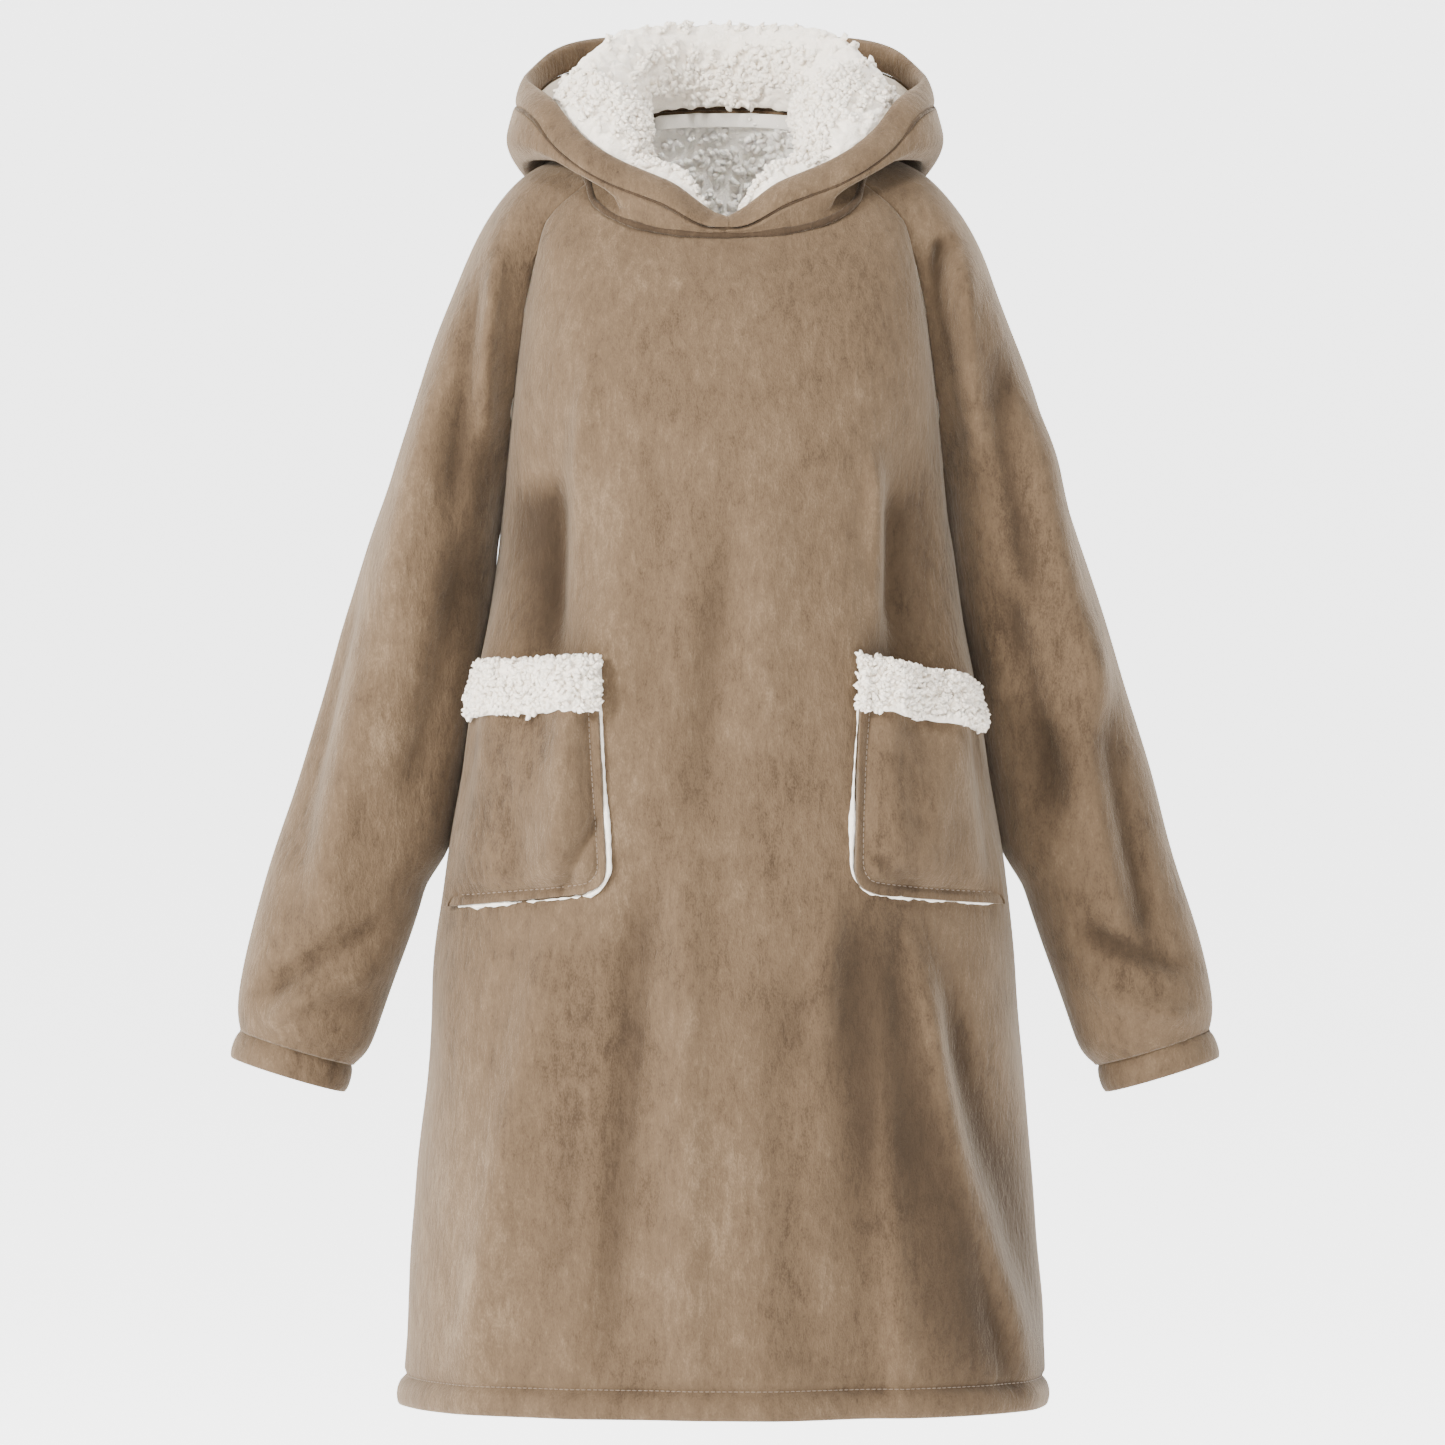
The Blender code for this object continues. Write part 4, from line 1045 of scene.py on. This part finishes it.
class HOODIE_OT_pockets(bpy.types.Operator):
    """Makes both patch pockets and the fleece folded over their mouths"""

    bl_idname = "hoodie.pockets"
    bl_label = "Pockets"

    def execute(self, context):
        looks = context.scene.hoodie_looks
        for side in ("right", "left"):
            obj = refined(f"pocket_{side}", f"pocket_{side}_cloth", 3)
            shaped(obj, FOLDS, False, looks.fold_depth)
            shaped(obj, POCKET_FOLDS, False)
            sewn_line = pocket_edge(side, FLANGE)
            points = points_of(obj)
            far = near_line(points, sewn_line)
            inside = far * np.sign(near_line(points, pocket_edge(side)) - FLANGE)
            points[:, 1] -= 0.0035 * ease(inside / 0.012) - 0.0022 * np.exp(-((far / 0.0022) ** 2))
            put_points(obj, points)
            finish(obj, [f"pocket_{side}"], "flannel", made_material("brushed_flannel"))
            trim = refined(f"pocket_trim_{side}", f"pocket_trim_{side}_fleece", 3)
            clear = away_from(trim, f"pocket_{side}")
            shaped(trim, FOLDS, False, looks.fold_depth)
            self.widen(trim, clear)
            curl(trim, clear, looks.curl_size, looks.curl_rise, 21)
            finish(trim, [f"pocket_trim_{side}"], "sherpa", made_material("curly_fleece"))
            tufts = pile(f"pocket_trim_{side}_pile", trim, clear, looks.tufts // 5, 0.0052, 22)
            finish(tufts, [], "sherpa", made_material("curly_fleece"))
            tree = surface_of(obj)
            places, ways = laid_in_front(even(sewn_line[UNDER_TRIM:], 0.0040), tree, 0.0002)
            sewn = stitches(f"pocket_stitches_{side}", places, ways, 0.0032, 0.0007)
            finish(sewn, [], "flannel", made_material("thread"))
            front = surface_of(bpy.data.objects["front_panel_cloth"])
            places, _ = laid_in_front(even(pocket_edge(side, 0.0004), 0.0020), front, 0.0010)
            places[:, 1] += 0.0020 * unevenness(places, 0.026, 7)
            raw = cord_along(f"pocket_raw_edge_{side}", places, 0.0013, 1.0, 51)
            finish(raw, [], "sherpa", made_material("inner_fleece_painted_light"))
        return {"FINISHED"}

    def widen(self, trim, clear):
        """Carries the fleece over the pocket's whole width and plumps it."""
        points, ways = points_of(trim), normals_of(trim)
        across = np.abs(points[:, 0])
        points[:, 0] -= np.sign(points[:, 0]) * 0.006 * ease(1 - (across - across.min()) / 0.03)
        points += ways * (0.0022 * clear)[:, None]
        put_points(trim, points)


class HOODIE_OT_tape(bpy.types.Operator):
    """Makes the plain tape inside the back of the neck"""

    bl_idname = "hoodie.tape"
    bl_label = "Neck tape"

    def execute(self, context):
        obj = refined("back_neck_tape", "back_neck_tape_woven", 2)
        lift_nape(obj)
        points = points_of(obj)
        points[:, 2] += (points[:, 2].max() - points[:, 2]) * 0.35
        put_points(obj, points)
        finish(obj, ["back_neck_tape"], "tape", made_material("neck_tape"))
        return {"FINISHED"}


class HOODIE_OT_stage(bpy.types.Operator):
    """Sets the floor, the backdrop, the lights and the camera"""

    bl_idname = "hoodie.stage"
    bl_label = "Stage"

    def execute(self, context):
        looks = context.scene.stage_looks
        bpy.ops.mesh.primitive_grid_add(x_subdivisions=1, y_subdivisions=40, size=1)
        sweep = context.active_object
        sweep.name = "studio_sweep"
        points = points_of(sweep)
        run = points[:, 1] + 0.5
        turn = np.clip((run - 0.55) / 0.15, 0, 1) * math.pi / 2
        front, back, radius, width, wall = -30.0, 7.0, 4.0, 56.0, 80.0
        y = np.where(run < 0.55, front + (back - front) * run / 0.55, back + radius * np.sin(turn))
        z = np.where(run < 0.55, 0, radius * (1 - np.cos(turn)))
        z = np.where(run > 0.70, radius + (run - 0.70) * wall, z)
        put_points(sweep, np.stack([points[:, 0] * width, y, z + looks.floor], 1))
        shader = Shader("studio_pale", Emission_Color=(1, 1, 1, 1), Emission_Strength=2.6)
        grain = shader.noise(3.0, 2)
        pale = shader.mix(grain * 0.04, looks.pale, (0.80, 0.80, 0.80))
        shader.set(Base_Color=pale, Roughness=grain * 0.05 + 0.9)
        sweep.data.materials.append(shader.material)
        sweep.data.shade_smooth()
        for name, place, size, power, tone in (
            ("key", (-3.1, -2.7, 1.1), 1.1, 440, (1.0, 0.985, 0.96)),
            ("fill", (2.8, -3.8, 0.3), 2.4, 14, (0.97, 0.985, 1.0)),
            ("top", (0.0, 0.9, 2.4), 1.8, 80, (1.0, 1.0, 1.0)),
            ("neck", (0.2, -1.6, 2.2), 0.7, 100, (1.0, 0.99, 0.97)),
        ):
            bpy.ops.object.light_add(type="AREA", location=place)
            light = context.active_object
            light.name = f"{name}_light"
            light.data.size = size
            light.data.energy = power
            light.data.color = tone
            aim = Vector((0, 0, -0.4)) - Vector(place)
            light.rotation_euler = aim.to_track_quat("-Z", "Y").to_euler()
        world = bpy.data.worlds.new("studio_world")
        world.use_nodes = True
        world.node_tree.nodes["Background"].inputs["Color"].default_value = (1, 1, 1, 1)
        world.node_tree.nodes["Background"].inputs["Strength"].default_value = 0.4
        context.scene.world = world
        camera = bpy.data.cameras.new("photo_camera")
        camera.sensor_width = 36
        camera.lens = camera.sensor_width * looks.camera_far / looks.seen
        camera.clip_end = 100
        holder = bpy.data.objects.new("photo_camera", camera)
        holder.location = (looks.camera_side, -looks.camera_far, looks.camera_height)
        holder.rotation_euler = (math.pi / 2, 0, 0)
        context.scene.collection.objects.link(holder)
        context.scene.camera = holder
        return {"FINISHED"}


class HOODIE_PT_looks(bpy.types.Panel):
    """The hoodie's colours and steps, in the sidebar"""

    bl_label = "Hoodie"
    bl_space_type = "VIEW_3D"
    bl_region_type = "UI"
    bl_category = "Hoodie"

    def draw(self, context):
        for group in (context.scene.hoodie_looks, context.scene.stage_looks):
            box = self.layout.box()
            for name in group.__annotations__:
                box.prop(group, name)
        for step in STEPS:
            self.layout.operator(step.bl_idname)


STEPS = (
    HOODIE_OT_panels,
    HOODIE_OT_sleeves,
    HOODIE_OT_hood,
    HOODIE_OT_pockets,
    HOODIE_OT_tape,
    HOODIE_OT_stage,
)
CLASSES = (HoodieLooks, StageLooks, *STEPS, HOODIE_PT_looks)


def register():
    for item in CLASSES:
        bpy.utils.register_class(item)
    bpy.types.Scene.hoodie_looks = PointerProperty(type=HoodieLooks)
    bpy.types.Scene.stage_looks = PointerProperty(type=StageLooks)


def unregister():
    del bpy.types.Scene.stage_looks
    del bpy.types.Scene.hoodie_looks
    for item in reversed(CLASSES):
        bpy.utils.unregister_class(item)


def main():
    """Builds every piece, then the stage."""
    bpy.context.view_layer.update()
    register()
    for step in STEPS:
        group, name = step.bl_idname.split(".")
        getattr(getattr(bpy.ops, group), name)()


if __name__ == "__main__":
    main()
